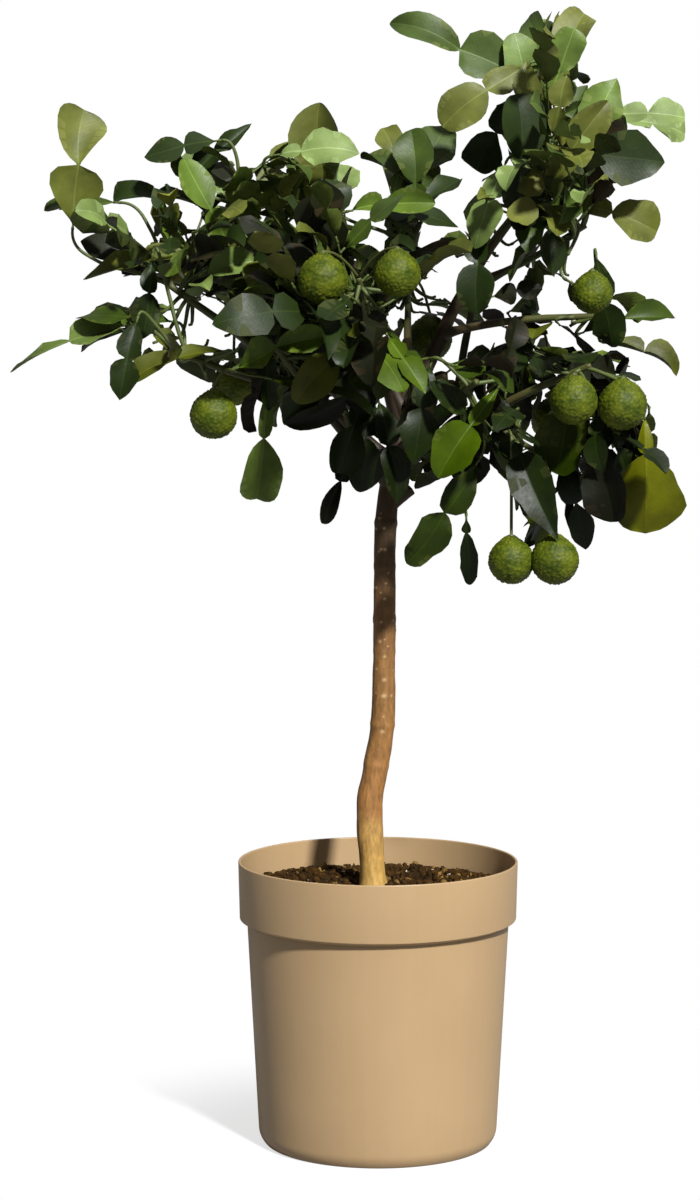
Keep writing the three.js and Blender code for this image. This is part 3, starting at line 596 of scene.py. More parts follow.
# A plain skin of each limb, for the leaves and shoots to keep clear of
limb_skins = [tube(trunk_line[::12], trunk_radii[::12], 10)]
for order, (name, (parent, at, tip, bow, radii)) in enumerate(BOUGHS.items()):
    end = np.array(tip) * MM
    if at == 1:
        start = limbs[parent][-1] + limb_tips[parent] * GAP
        middle = start + limb_tips[parent] * 0.5 * np.linalg.norm(end - start)
    else:
        start = spline(limbs[parent], 1001)[round(at * 1000)]
        middle = (start + end) / 2
    controls = (start, middle + (0, 0, bow * MM), end)
    limbs[name] = bezier(controls, np.linspace(0, 1, BOUGH_SPANS + 1))
    limb_tips[name] = unit(limbs[name][-1] - limbs[name][-2])
    share = np.linspace(0, 1, max(24, round(np.linalg.norm(end - start) / BOUGH_STEP)))
    path = bezier(controls, share)
    wander = BOUGH_WANDER * np.sin(math.pi * share) * smooth_noise(path + order, 60 * MM, 40)
    path += wander[:, None] * [1, 1, 0]
    radius = (radii[0] + (radii[1] - radii[0]) * share**BOUGH_TAPER) * MM
    if at == 1:
        near = share * CARRIED_ON
        radius = np.maximum(radius, TRUNK[-1, 3] * (1 - near) + radius * np.minimum(near, 1))
        path[0] -= limb_tips[parent] * SUNK
    else:
        run = share * np.linalg.norm(end - start)
        radius = radius * (1 + COLLAR_RISE * np.exp(-((run / (1.6 * COLLAR_LENGTH)) ** 2)))
    bark, _ = bark_relief(path, radius, BOUGH_SIDES, 50 + order, 0.26 * MM)
    bough_parts.append(tube(path, radius, BOUGH_SIDES, bark))
    age = FOOT_AGES[parent != "trunk"] * (1 - share) ** 1.3 + TIP_AGE
    bough_ages += [np.repeat(age, BOUGH_SIDES), [age[0], age[-1]]]
    limb_skins.append(tube(path[::6], radius[::6], 8))

# Young citrus wood: brown bark at the old end turning to olive and then leaf green at the young end
green_bark, add, place = new_material("green_citrus_bark")
age = add("Attribute", attribute_name="age").outputs["Fac"]
wander = add("TexNoise", {"Vector": place, "Scale": 1 / (12 * MM), "Detail": 4})
patchy = add("Math", {0: wander, 1: 0.25, 2: age}, operation="MULTIPLY_ADD")
stops = [(0.1, "#4a5c22"), (0.3, "#4c4a22"), (0.5, "#3c2e18"), (0.85, "#281c10")]
tone = add("ValToRGB", {"Fac": patchy}, stops)
skin = add("TexNoise", {"Vector": place, "Scale": 1 / (1.3 * MM), "Detail": 3})
finish_material(green_bark, tone, skin, 0.35, 0.2 * MM, {"Roughness": 0.55})

mesh = add_mesh("bough_bark", *joined(bough_parts))
mark(mesh, "age", np.concatenate(bough_ages))
add_piece("bough_bark", mesh, [green_bark], ["bough_" + name for name in BOUGHS])

# Shoots
# Each bough's tip carries one mass of foliage: green shoots of the last two years that part from a short
# stem, bear the leaves in a spiral, and bear side twigs. A shoot that leads brings the last leaf to a place
# on the crown's outline.
# For each mass: the seed of its random numbers, how strongly its leaves hang, how much light falls on it,
# which deals out its leaves' tints as painted shade and light, how many shoots fan out by rule, how far they
# reach, and its leaders. For each leader: the tip of its last leaf, x and z as the camera sees it at the
# trunk's depth and y its real depth, how many degrees the leaf leans to the right of upright, its size, its
# tint and, where it differs from the mean, its shape and which way its upper side faces
MASSES = {
    "tower": (3, 0, 1.0, 3, 160, [
        (178, -30, 1226, 2, 0.98, "grass", {"blade_width": 1.1, "blade_tip": 0.42, "cup": 0.1, "twist": 0}),
        (214, 10, 1210, 16, 0.9, "olive", {"blade_width": 1.1, "twist": 0, "face": (-0.2, -1, 0)}),
        (141, -44, 1203, -12, 0.88, "grass", {"blade_width": 0.95, "blade_tip": 0.5, "cup": 0.1, "twist": 0}),
        (15, -30, 1197, -66, 1.18, "green", {
            "blade_width": 0.66, "blade_tip": 0.8, "wing_width": 1.15, "arch": 1.1, "twist": 0,
            "face": (0, -1, 0.7),
        }),
        (98, 20, 1034, -150, 0.8, "deep"),
        (206, -40, 1160, 14, 0.7, "olive", {"face": (0, -1, 0.2)}),
        (60, -76, 1086, -124, 0.95, "olive", {
            "blade_width": 1.1, "blade_tip": 0.5, "wing_width": 0.9, "twist": 0,
        }),
        (230, -20, 1146, 44, 0.6, "green"),
        (246, -30, 1136, 20, 0.85, "grass"),
        (152, -96, 1104, 2, 1.0, "deep", {"blade_width": 1.05, "blade_tip": 0.45, "cup": 0.2}),
        (238, -74, 1108, 36, 0.85, "olive", {"face": (0.4, -1, 0.5)}),
        (158, -60, 1158, -4, 0.7, "olive"),
    ]),
    "left": (5, 0.1, 0.4, 6, 150, [
        (-309, -24, 1110, 6, 1.08, "olive", {
            "blade_foot": 0.9, "blade_tip": 0.45, "blade_length": 0.9, "wing_width": 1.2, "wing_length": 1,
            "blade_width": 1.0, "swing": 0.45, "arch": 0.3, "cup": 0.15, "twist": 0, "face": (0, -1, 0),
        }),
        (-359, 6, 1006, -90, 0.66, "green", {"face": (0, -1, 1.6)}),
        (-320, -44, 935, -98, 0.98, "olive", {
            "blade_width": 0.85, "blade_tip": 1.05, "cup": 0.6, "face": (0, -1, 0.9),
        }),
        (-285, 40, 1020, -80, 0.8, "deep", {"face": (0, -1, 1.6), "arch": 0.8}),
        (-316, -8, 970, -70, 0.62, "shade"),
    ]),
    "low_left": (8, 0.35, 0.3, 4, 140, [
        (-395, -64, 841, -106, 1.05, "fresh", {"blade_width": 0.4, "wing_width": 0.95, "face": (0, -1, 0.8)}),
        (-330, -70, 893, -84, 0.88, "green", {"face": (0, -1, 0.8), "blade_tip": 0.95}),
        (-280, -146, 791, -166, 0.76, "deep", {"blade_tip": 1.0, "blade_width": 0.85}),
        (-262, -118, 836, -98, 0.8, "olive", {"face": (0, -1, 1.2)}),
        (-246, -100, 860, -176, 0.7, "deep", {"cup": -0.5, "blade_tip": 0.9, "face": (0.3, -1, 0)}),
    ]),
    "upper_left": (13, 0.1, 0.6, 6, 140, [
        (-260, -6, 1058, -98, 0.72, "deep", {"face": (0, -1, 0.8), "blade_tip": 1.0}),
        (-134, 4, 1093, 48, 0.72, "deep", {"blade_width": 0.6, "blade_tip": 1.1}),
        (-203, -90, 957, -84, 1.0, "fresh", {"face": (0, -1, 0.9), "arch": 0.7, "blade_tip": 0.9}),
        (-200, -60, 1046, -26, 0.78, "grass"),
    ]),
    "front_left": (21, 0.5, 0.0, 6, 120, [
        (-127, -110, 677, -176, 1.03, "fresh", {
            "wing_width": 0.45, "blade_width": 1.08, "blade_tip": 0.5, "arch": 0.3, "twist": 0,
            "swing": 0, "wave": 1.2 * MM, "face": (0, -1, 0),
        }),
        (-84, -190, 800, -138, 0.9, "olive", {"cup": 0.4, "face": (0.2, -1, 0.3)}),
        (-59, -178, 880, 62, 0.88, "grass", {"face": (0, -1, 0.6), "arch": 0.7, "blade_width": 0.8}),
        (-102, -130, 764, -118, 1.0, "shade", {"face": (0, -1, -0.3), "blade_width": 0.6}),
        (-118, -120, 762, 178, 0.72, "deep"),
    ]),
    "front": (34, 0.2, -0.15, 9, 150, []),
    "upper_centre": (55, 0.05, 0.75, 6, 120, [
        (-66, 4, 1110, -6, 1.08, "olive", {"blade_width": 1.2, "cup": 0.3, "face": (-0.4, -1, 0.2)}),
        (-14, -60, 1070, 82, 1.05, "fresh", {
            "face": (0, -1, 0.7), "arch": 0.9, "blade_tip": 0.95, "wing_length": 0.4, "wing_width": 0.4,
        }),
    ]),
    "crest": (89, 0.15, 0.6, 6, 130, [
        (4, 30, 1092, -20, 0.66, "olive"),
        (30, -24, 1091, -6, 0.85, "green", {"blade_width": 1.2, "face": (0, -1, 0.3), "twist": 0}),
        (72, 6, 1094, 26, 0.8, "green", {"blade_width": 1.15, "face": (0, -1, 0.3)}),
        (-28, -6, 1062, -60, 0.7, "green", {"face": (0, -1, 0.5)}),
        (90, -40, 1044, 50, 0.8, "deep"),
        (60, -84, 1014, 80, 0.75, "grass", {"face": (0, -1, 1.2)}),
        (-26, -70, 972, -104, 0.75, "deep", {"face": (0, -1, 0.8)}),
        (84, -76, 990, 100, 0.75, "deep", {"face": (0, -1, 0.8)}),
    ]),
    "right_high": (144, 0.05, 0.4, 6, 130, [
        (327, -10, 1101, 88, 0.66, "fresh", {"face": (0, -1, 0.6), "blade_width": 1.15, "cup": 0.3}),
        (336, 40, 1082, 98, 0.7, "fresh", {"face": (0, -1, 0.5), "blade_width": 1.15, "cup": 0.3}),
        (309, -84, 1060, 88, 1.05, "deep", {"face": (0, -1, 0.3), "blade_width": 1.1, "blade_tip": 0.9}),
        (304, -30, 980, 106, 0.92, "olive", {"face": (0, -1, 0.5), "blade_tip": 0.45}),
        (252, -20, 1018, 112, 0.75, "grass", {"face": (0, -1, 1.2), "arch": 0.8}),
        (182, -44, 925, 174, 0.88, "deep"),
        (148, -60, 932, -165, 0.8, "deep"),
        (93, -90, 957, -155, 0.85, "fresh", {"arch": 0.8, "face": (-0.3, -1, 0.4)}),
        (104, -84, 886, -178, 0.85, "deep"),
        (206, -90, 903, 92, 0.74, "shade", {"face": (0, -1, 0.3)}),
    ]),
    "right": (233, 0.3, -0.25, 6, 120, [
        (312, -20, 901, 72, 0.82, "green", {"face": (0, -1, 1.4), "arch": 0.5, "blade_tip": 1.0}),
        (340, -40, 834, 104, 0.8, "olive", {"face": (0, -1, 1.8), "arch": 0.9, "blade_tip": 1.0}),
        (246, -76, 854, 172, 0.8, "deep"),
    ]),
    "low_right": (377, 0.9, -0.4, 3, 110, [
        (289, -152, 652, 178, 1.3, "sunlit", {
            "cup": -0.35, "wing_width": 0.3, "wing_length": 0.5, "blade_width": 1.25, "blade_tip": 0.42,
            "twist": 0, "face": (0.25, -1, 0),
        }),
        (246, -160, 666, 172, 1.1, "shade", {
            "blade_width": 1.0, "wing_width": 0.3, "wing_length": 0.4, "twist": 0, "face": (-0.5, -1, 0),
        }),
        (250, 0, 620, 158, 0.8, "deep", {"blade_width": 0.55, "wing_width": 0.6, "blade_tip": 1.1}),
        (190, -126, 728, -172, 1.0, "green", {
            "wing_length": 0.3, "blade_width": 1.15, "blade_tip": 0.42, "face": (0, -1, 0.2), "cup": 0.1,
        }),
    ]),
    "hanging_right": (610, 0.9, -0.4, 3, 120, [
        (177, -196, 626, 166, 1.0, "deep", {
            "wing_length": 0.3, "wing_width": 0.4, "blade_length": 1.75, "blade_width": 1.15,
            "blade_foot": 0.5, "blade_tip": 1.1, "twist": 0, "face": (-0.2, -1, 0),
        }),
        (230, -36, 630, 164, 0.8, "shade", {"blade_width": 0.36, "wing_width": 0.4}),
        (228, -60, 640, 160, 0.8, "deep", {"blade_width": 0.7}),
    ]),
    "low_centre": (987, 0.85, -0.35, 4, 110, [
        (52, -160, 708, -143, 1.05, "grass", {
            "blade_foot": 0.5, "blade_tip": 0.8, "blade_width": 1.15, "wing_width": 0.5,
            "face": (-0.4, -1, 0.1),
        }),
        (25, -110, 608, -147, 1.15, "green", {
            "blade_width": 0.66, "wing_width": 0.66, "wave": 5 * MM, "waves": 2.6, "blade_foot": 0.5,
            "blade_tip": 0.6, "twist": 0, "swing": 0.3, "face": (0, -1, 0),
        }),
        (113, -90, 567, 170, 1.15, "deep", {
            "wing_length": 0.3, "wing_width": 0.3, "blade_length": 1.1, "blade_width": 0.5, "twist": 0,
        }),
        (36, -130, 742, -168, 0.75, "deep"),
        (62, -150, 822, -40, 0.7, "deep"),
    ]),
    "skirt": (1597, 0.8, -0.4, 4, 110, [
        (-58, -84, 668, -158, 0.7, "shade", {"blade_width": 0.65}),
        (-16, -104, 688, -176, 0.92, "deep"),
        (-42, -124, 726, -160, 0.78, "deep"),
        (22, -104, 696, 168, 0.82, "deep"),
        (34, -80, 746, 128, 0.78, "deep"),
    ]),
    "back_left": (2584, 0.4, 0.1, 12, 150, []),
    "back_top": (4181, 0.1, 0.4, 9, 130, []),
    "back": (6765, 0.3, 0.0, 12, 145, []),
    "back_right": (10946, 0.5, -0.1, 12, 145, []),
    "back_high": (17711, 0.1, 0.4, 9, 125, []),
}
# The crown's outline as the camera sees it, at the trunk's depth (x, z), clockwise from its left end. Only
# the leaders' last leaves reach beyond it
OUTLINE = np.array([
    (-345, 992), (-345, 1030), (-292, 1008), (-262, 1035), (-215, 1062), (-175, 1072), (-120, 1084),
    (-60, 1085), (-25, 1060), (-8, 1045), (5, 1077), (60, 1086), (80, 1078), (112, 1105), (128, 1150),
    (135, 1190), (175, 1208), (215, 1195), (225, 1160), (248, 1115), (262, 1085), (292, 1068),
    (265, 1025), (225, 1005), (252, 990), (212, 982), (200, 955), (208, 930), (240, 930), (262, 902),
    (288, 885), (262, 862), (275, 835), (298, 792), (300, 750), (315, 700), (292, 665), (242, 655),
    (212, 622), (165, 612), (120, 615), (116, 650), (125, 700), (84, 700), (60, 712), (25, 692),
    (-30, 690), (-50, 715), (-56, 760), (-105, 765), (-150, 764), (-195, 775), (-200, 812), (-255, 820),
    (-290, 835), (-330, 850), (-325, 890), (-240, 910), (-318, 940), (-290, 972),
]) * MM
OUTSIDE_SHARE = 0.08
# Openings through which the sky shows, each a strip from one point to another (x, z) and half its width.
# Only the leaders reach into them
OPENINGS = np.array([
    (-265, 918, -212, 912, 6), (-212, 884, -180, 897, 10), (-198, 872, -160, 860, 9),
    (-262, 858, -250, 862, 5), (-232, 822, -180, 808, 8), (-256, 1006, -250, 974, 10),
    (-285, 1040, -276, 1006, 8), (-140, 1056, -110, 1088, 11), (-30, 996, -5, 1010, 5),
    (-6, 971, 4, 971, 5), (50, 968, 62, 972, 4), (46, 984, 82, 996, 4), (72, 1028, 110, 1039, 7),
    (119, 988, 127, 955, 13), (121, 932, 126, 908, 8), (143, 918, 139, 904, 4), (12, 886, 60, 922, 5),
    (76, 944, 74, 934, 5), (80, 918, 86, 912, 6), (48, 860, 82, 862, 4), (96, 857, 98, 857, 5),
    (106, 870, 124, 869, 4), (-16, 856, -12, 853, 4), (188, 944, 226, 988, 10), (178, 892, 206, 884, 7),
    (214, 875, 236, 862, 5), (195, 860, 199, 860, 5), (189, 1122, 187, 1112, 9),
    (142, 1146, 142, 1118, 4), (118, 1100, 124, 1100, 6), (100, 1066, 122, 1084, 6),
    (126, 705, 140, 662, 11), (196, 690, 198, 656, 8), (208, 704, 240, 656, 4), (-72, 764, -40, 786, 9),
    (-48, 738, -44, 708, 7), (252, 682, 262, 662, 5), (300, 815, 304, 765, 7), (-36, 980, -30, 984, 3),
    (4, 1020, -6, 1040, 6), (-200, 990, -196, 992, 7), (-242, 1040, -234, 1030, 6),
]) * MM
# A stem carries each mass on from its bough, and the shoots leave it between two shares of its length
STEM_LENGTH = 40 * MM
STEM_RADIUS = 3.2 * MM
STEM_SHARES = (0.15, 0.95)
SHOOT_RADII = (2.5 * MM, 1.5 * MM)
TWIG_RADII = (1.6 * MM, 1.1 * MM)
SHOOT_STEP = 4 * MM
WANDER = 1.5 * MM
LEAF_SIZES = (0.82, 1.12)
TWIG_LEAF_SIZES = (0.7, 1.02)
# The fan's shoots: how far they open from the bough (degrees), how much of the mass's reach they take, the
# size of their last leaf, and how much they turn up to the light and droop where the mass hangs
FAN = {"open": (28, 78), "reach": (0.85, 1.15), "size": (0.8, 1.0), "rise": 0.25, "droop": 0.5}
# Shoots and leaves are set round in spirals that turn on by this angle
GOLDEN_ANGLE = math.radians(137.5)
# A mean leaf: the stalk, the wing and the blade along it, and their widths
STALK = 7 * MM
WING = 56 * MM
WING_WIDTH = 44 * MM
BLADE = 66 * MM
BLADE_WIDTH = 50 * MM


def dice(seed):
    """Repeatable random numbers from 0 to 1, by a linear congruential rule."""
    state = seed * 7919

    def roll():
        nonlocal state
        state = (state * 1664525 + 1013904223) % 4294967296
        return state / 4294967296

    return roll


def square_to(a, b):
    """The cross product of two single vectors."""
    return np.array([a[1] * b[2] - a[2] * b[1], a[2] * b[0] - a[0] * b[2], a[0] * b[1] - a[1] * b[0]])


def across(way):
    """Two directions square to a third: one level, and the one that completes the set."""
    side = np.array([way[1], -way[0], 0.0])
    side = unit(side) if math.hypot(*side) > 0.05 else np.array([1.0, 0, 0])
    return side, square_to(side, way)


def between(limits, roll):
    """A random value between two limits."""
    return limits[0] + (limits[1] - limits[0]) * roll()


def opened(way, angle, turn):
    """A direction that opens from another by an angle, on the side given by a turn about it."""
    side, rise = across(way)
    return way * math.cos(angle) + (side * math.cos(turn) + rise * math.sin(turn)) * math.sin(angle)


def leaf_length(size, traits):
    """How far a leaf reaches from its shoot to its tip when it lies straight."""
    return STALK + (WING * traits.get("wing_length", 1) + BLADE * traits.get("blade_length", 1)) * size


def new_shoot(controls, aim, size, tint, traits, radii, leaf_sizes, roll):
    """A shoot along a Bezier curve, with a slight wander that dies out at its ends, and what its last leaf
    is to be."""
    length = np.linalg.norm(np.diff(bezier(controls, np.linspace(0, 1, 9)), axis=0), axis=1).sum()
    share = np.linspace(0, 1, max(4, round(length / SHOOT_STEP)))
    path = bezier(controls, share)
    drift = np.stack([smooth_noise(path + k, 26 * MM, 60 + k) for k in range(3)], -1)
    path = path + WANDER * np.sin(math.pi * share)[:, None] * drift
    return {
        "points": path,
        "girth": radii[0] + (radii[1] - radii[0]) * share,
        "radii": radii,
        "aim": aim,
        "size": size,
        "tint": tint,
        "traits": traits,
        "length": length,
        "leaf_sizes": leaf_sizes,
        "twist": 2 * math.pi * roll(),
    }


def shoot_to(goal, hub, onward, share, roll, detour):
    """The shoot that leaves the stem a share of the way along and comes in along aim to its last leaf: a
    cubic Bezier curve that first follows the stem's own direction, and then swings out by the detour."""
    tip, aim, size, tint, traits = goal
    end = tip - aim * leaf_length(size, traits)
    start = hub + onward * STEM_LENGTH * share
    length = max(np.linalg.norm(end - start), MM)
    swing = detour * np.array([roll() - 0.5, -roll(), roll() - 0.5])
    bend = start * 0.8 + end * 0.2 + onward * 0.12 * length + swing
    controls = (start, bend, end - aim * 0.35 * length, end)
    return new_shoot(controls, aim, size, tint, traits, SHOOT_RADII, LEAF_SIZES, roll)


def shoots_of(name):
    """The goals of one mass's shoots, each with its stem and how far along that it leaves: its leaders, and a
    fan that opens round the bough's direction by the golden angle. Those that turn away from the stem most
    leave it first."""
    seed, hang, _, fan, reach, leaders = MASSES[name]
    roll = dice(seed)
    onward = limb_tips[name]
    hub = limbs[name][-1] + onward * GAP
    goals = []
    for x, y, z, lean, size, tint, *traits in leaders:
        tip = np.array((x, y, z)) * MM
        tip[[0, 2]] += (np.array(CAMERA_AT)[[0, 2]] - tip[[0, 2]]) * tip[1] / CAMERA_AT[1]
        depth = 0.6 * (tip[1] - hub[1]) / np.linalg.norm(tip - hub)
        lean = math.radians(lean)
        aim = unit(np.array([math.sin(lean), depth, math.cos(lean)]))
        goals.append((tip, aim, size, tint, traits[0] if traits else {}))
    for i in range(fan):
        turn = GOLDEN_ANGLE * i + seed
        aim = opened(onward, math.radians(between(FAN["open"], roll)), turn)
        tip = hub + aim * reach * MM * between(FAN["reach"], roll)
        aim = unit(aim + np.array([0, 0, FAN["rise"] - FAN["droop"] * hang]))
        goals.append((tip, aim, between(FAN["size"], roll), None, {}))

    def turned_away(goal):
        return -float(unit(goal[0] - goal[1] * leaf_length(goal[2], goal[4]) - hub) @ onward)

    goals.sort(key=turned_away, reverse=True)
    first, last = STEM_SHARES
    shares = [first + (last - first) * i / len(goals) for i in range(len(goals))]
    return [(goal, hub, onward, share, roll) for goal, share in zip(goals, shares)]


def place_on(points, share):
    """The point a share of the way along a line of straight spans, and the direction there."""
    whole = share * (len(points) - 1)
    i = min(int(whole), len(points) - 2)
    along = points[i + 1] - points[i]
    return points[i] + along * (whole - i), unit(along)


# Leaves
# The leaf of the species is double: a winged stalk nearly as broad as the blade that is jointed to it. It is
# leathery and glossy dark green above, paler and matt below, with a pale midrib. Young leaves are lighter.
# The tints are also dealt by the light, as painted shade inside and low and painted sunlight on top.
# The shade tint is painted shade, near black, and the sunlit tint is painted sunlight, yellow-green
TINTS = ("shade", "deep", "green", "olive", "grass", "fresh", "sunlit")
WAIST_WIDTH = 3 * MM
RIB_WIDTHS = (2.2 * MM, 0.8 * MM)
LAMINA = 0.35 * MM
RIB_DEPTH = 1.1 * MM
# Two ways to divide a leaf into faces: a fine one for the leaves that give the crown its outline, and a plain
# one for the many. Each has stations along the wing and along the blade, and a ring of points round them: for
# each point how far out it lies (1 is the margin), on which side of the midrib, how deep it lies under the
# upper side, and what the face that starts there is
UPPER, MIDRIB, UNDER = range(3)
FINE = {
    "wing": (0, 0.2, 0.42, 0.62, 0.8, 0.93, 1),
    "blade": (0.04, 0.12, 0.24, 0.38, 0.52, 0.66, 0.78, 0.87, 0.94, 0.98, 1),
    "ring": (
        (-1, 0, 0, UPPER), (-0.55, 0, 0, UPPER), (0, -1, 0, MIDRIB), (0, 1, 0, UPPER), (0.55, 0, 0, UPPER),
        (1, 0, 0, UNDER), (0.55, 0, LAMINA, UNDER), (0, 0, RIB_DEPTH, UNDER), (-0.55, 0, LAMINA, UNDER),
    ),
}
PLAIN = {
    "wing": (0, 0.3, 0.62, 0.87, 1),
    "blade": (0.07, 0.23, 0.43, 0.63, 0.82, 0.94, 1),
    "ring": (
        (-1, 0, 0, UPPER), (0, -1, 0, MIDRIB), (0, 1, 0, UPPER), (1, 0, 0, UNDER), (0, 0, RIB_DEPTH, UNDER),
    ),
}
# The powers that round the wing's outline at its foot and its tip
WING_POWERS = (0.95, 0.42)
# How each leaf differs from the mean: the lengths and widths of its wing and blade, the roundness of the
# blade's foot and tip, how far its halves fold up and how unlike they do, how far blade and wing arch, how
# far the tip droops, how far the blade swings sideways and twists (radians), the height, number and start of
# the waves of its margin, and how far the margin itself turns up
TRAITS = {
    "wing_length": (0.8, 1.1),
    "wing_width": (0.72, 1.15),
    "blade_length": (0.85, 1.2),
    "blade_width": (0.78, 1.12),
    "blade_foot": (0.45, 0.85),
    "blade_tip": (0.5, 1.0),
    "cup": (-0.15, 0.7),
    "skew": (-0.22, 0.22),
    "arch": (0.1, 1.3),
    "droop": (-0.2, 0.8),
    "bend": (-0.3, 0.8),
    "swing": (-0.45, 0.45),
    "twist": (-0.6, 0.6),
    "wave": (0.5 * MM, 3.6 * MM),
    "waves": (1.2, 3.2),
    "phase": (0, 2 * math.pi),
    "curl": (-0.16, 0.22),
}
UNEVEN = 0.07
# How leaves sit: how far apart on a shoot and on a twig, the share of either that is bare at its foot, how
# many positions are tried at each place and how much smaller each try is, how far a leaf opens from its shoot
# (radians), how much of the mass's hang it takes, and how far it folds at the waist, the last one less
SPACING, TWIG_SPACING = 15 * MM, 13 * MM
BARE_SHARE = 0.1
TRIES = 12
SHRINK = 0.03
OPEN = (0.7, 1.25)
HANG = (0.3, 1.0)
FOLD, LAST_FOLD = (0.0, 0.6), (0.1, 0.45)
# Which way they face: how much outward from the crown's heart, how much upward and how much at random, and
# where a leader's last leaf faces. Last leaves shake about their shoot's aim from try to try
CROWN_HEART = np.array([0, 0, 850]) * MM
FACE_OUT, FACE_UP, SCATTER = 0.55, 0.8, 1.5
LEADER_FACE, LEADER_SCATTER = (0, -1, 0.35), 0.45
LEADER_TRAITS = {"arch": 0.35, "droop": 0.1}
JITTER, LEADER_JITTER = 0.14, 0.07
# How near leaves come: how much nearer to another mass than to their own, how clear they stay of shoots, and
# how far they reach beyond their mass's box
STRAY = 45 * MM
CLEARANCE = 0.8 * MM
REACH, LEADER_REACH = 6 * MM, 20 * MM
DETOURS = np.array([0, 20, 40, 60, 80, 100, 120]) * MM


def leaf_surface(leaves, plan):
    """Points of many leaves, an array of leaves by stations by ring, and each point's place on its leaf. The
    midrib is a line whose direction pitches and swings along the wing, folds at the waist, pitches on along
    the blade and droops by the cube of the share t. Each half's width is t^a (1 - t)^b, scaled to the full
    width and made uneven by a sine. The halves fold up from the midrib, and their margins wave by two sines
    that grow with the distance from it."""
    stations = np.array(plan["wing"] + plan["blade"])
    on_blade = np.arange(len(stations)) >= len(plan["wing"])
    out, rib_side, depth, _ = np.array(plan["ring"]).T
    leaf = {key: np.array([one[key] for one in leaves], float) for key in leaves[0] if key != "tint"}
    column = {key: value[:, None] for key, value in leaf.items()}
    size = column["size"]
    wing = WING * column["wing_length"] * size
    blade = BLADE * column["blade_length"] * size
    part = np.where(on_blade, blade, wing) * stations
    run = STALK + part + np.where(on_blade, wing, 0)
    swing = column["swing"] * (stations - 0.5) * np.where(on_blade, 1, 0.4)
    blade_pitch = column["arch"] * (0.5 - stations) - column["fold"] - column["droop"] * stations**3
    pitch = np.where(on_blade, blade_pitch, column["bend"] * (0.5 - stations))[..., None]
    level = column["way"] * np.cos(swing)[..., None] + column["side"] * np.sin(swing)[..., None]
    along = level * np.cos(pitch) + column["up"] * np.sin(pitch)
    above = column["up"] * np.cos(pitch) - level * np.sin(pitch)
    beside = np.cross(along, above)
    roll = (column["twist"] * np.where(on_blade, 0.4 + stations, 0.4 * stations))[..., None]
    beside, above = beside * np.cos(roll) + above * np.sin(roll), above * np.cos(roll) - beside * np.sin(roll)
    steps = np.diff(run, axis=1)[..., None] * (along[:, 1:] + along[:, :-1]) / 2
    foot = (leaf["base"] + leaf["way"] * STALK)[:, None]
    middle = np.concatenate([foot, foot + np.cumsum(steps, 1)], 1)

    rise = np.where(on_blade, column["blade_foot"], WING_POWERS[0])
    fall = np.where(on_blade, column["blade_tip"], WING_POWERS[1])
    peak = rise / (rise + fall)
    outline = stations**rise * (1 - stations) ** fall / (peak**rise * (1 - peak) ** fall)
    broadest = np.where(on_blade, BLADE_WIDTH * column["blade_width"], WING_WIDTH * column["wing_width"])
    least = WAIST_WIDTH * np.where(on_blade, 1 - stations, 0.6 + 0.4 * stations) + 0.3 * MM
    half = (np.maximum(broadest * size * outline, least) / 2)[..., None]
    rib = RIB_WIDTHS[0] + (RIB_WIDTHS[1] - RIB_WIDTHS[0]) * (run - STALK) / (wing + blade)
    rib = np.minimum(rib[..., None] / 2, 0.4 * half)
    turn = (2 * math.pi * column["waves"] * run / (STALK + wing + blade))[..., None]
    phase = column["phase"][..., None]
    u = out + rib_side * rib / half
    ripple = np.sin(turn + phase) + 0.4 * np.sin(2.3 * turn + 2 * phase)
    ripple = ripple * np.where(u > 0, 1, -0.7)
    wave = column["wave"][..., None] * np.abs(u) ** 1.6 * ripple * np.minimum(1, half / (10 * MM))
    cup = column["cup"][..., None] + column["skew"][..., None] * np.sign(u)
    height = half * (np.abs(u) * np.sin(cup) + column["curl"][..., None] * u**4) + wave
    height = height - depth * np.minimum(1, half / (3 * MM))
    breadth = u * half * np.cos(cup) * (1 + UNEVEN * np.sin(1.3 * turn + phase + np.sign(u)))
    points = middle[:, :, None] + beside[:, :, None] * breadth[..., None]
    points = points + above[:, :, None] * height[..., None]
    places = np.stack([u * half, np.broadcast_to(part[..., None], u.shape)], -1)
    return points, places


def new_leaf(base, way, face, size, fold, tint, traits, roll):
    """A leaf that leaves its shoot at base along way, its upper side turned to face, with traits of its own,
    some of which may be given."""
    side = unit(square_to(way, face))
    given = {trait: value for trait, value in traits.items() if trait in TRAITS}
    return {
        "base": base, "way": way, "side": side, "up": square_to(side, way),
        "size": size, "fold": fold, "tint": tint,
        **{trait: between(limits, roll) for trait, limits in TRAITS.items()},
        **given,
    }


# How often each tint comes up, in the crown's shade and in full light
SHADED = np.array([0.4, 0.38, 0.14, 0.05, 0.03, 0, 0])
SUNNY = np.array([0, 0.1, 0.24, 0.24, 0.18, 0.22, 0.02])


def tint_at(light, roll):
    """The tint of a leaf: its odds go over from the shaded to the sunny ones with the light, from 0 to 1."""
    bounds = np.cumsum(SHADED + (SUNNY - SHADED) * min(max(light, 0), 1))
    return TINTS[min(int(np.searchsorted(bounds, roll())), len(TINTS) - 1)]


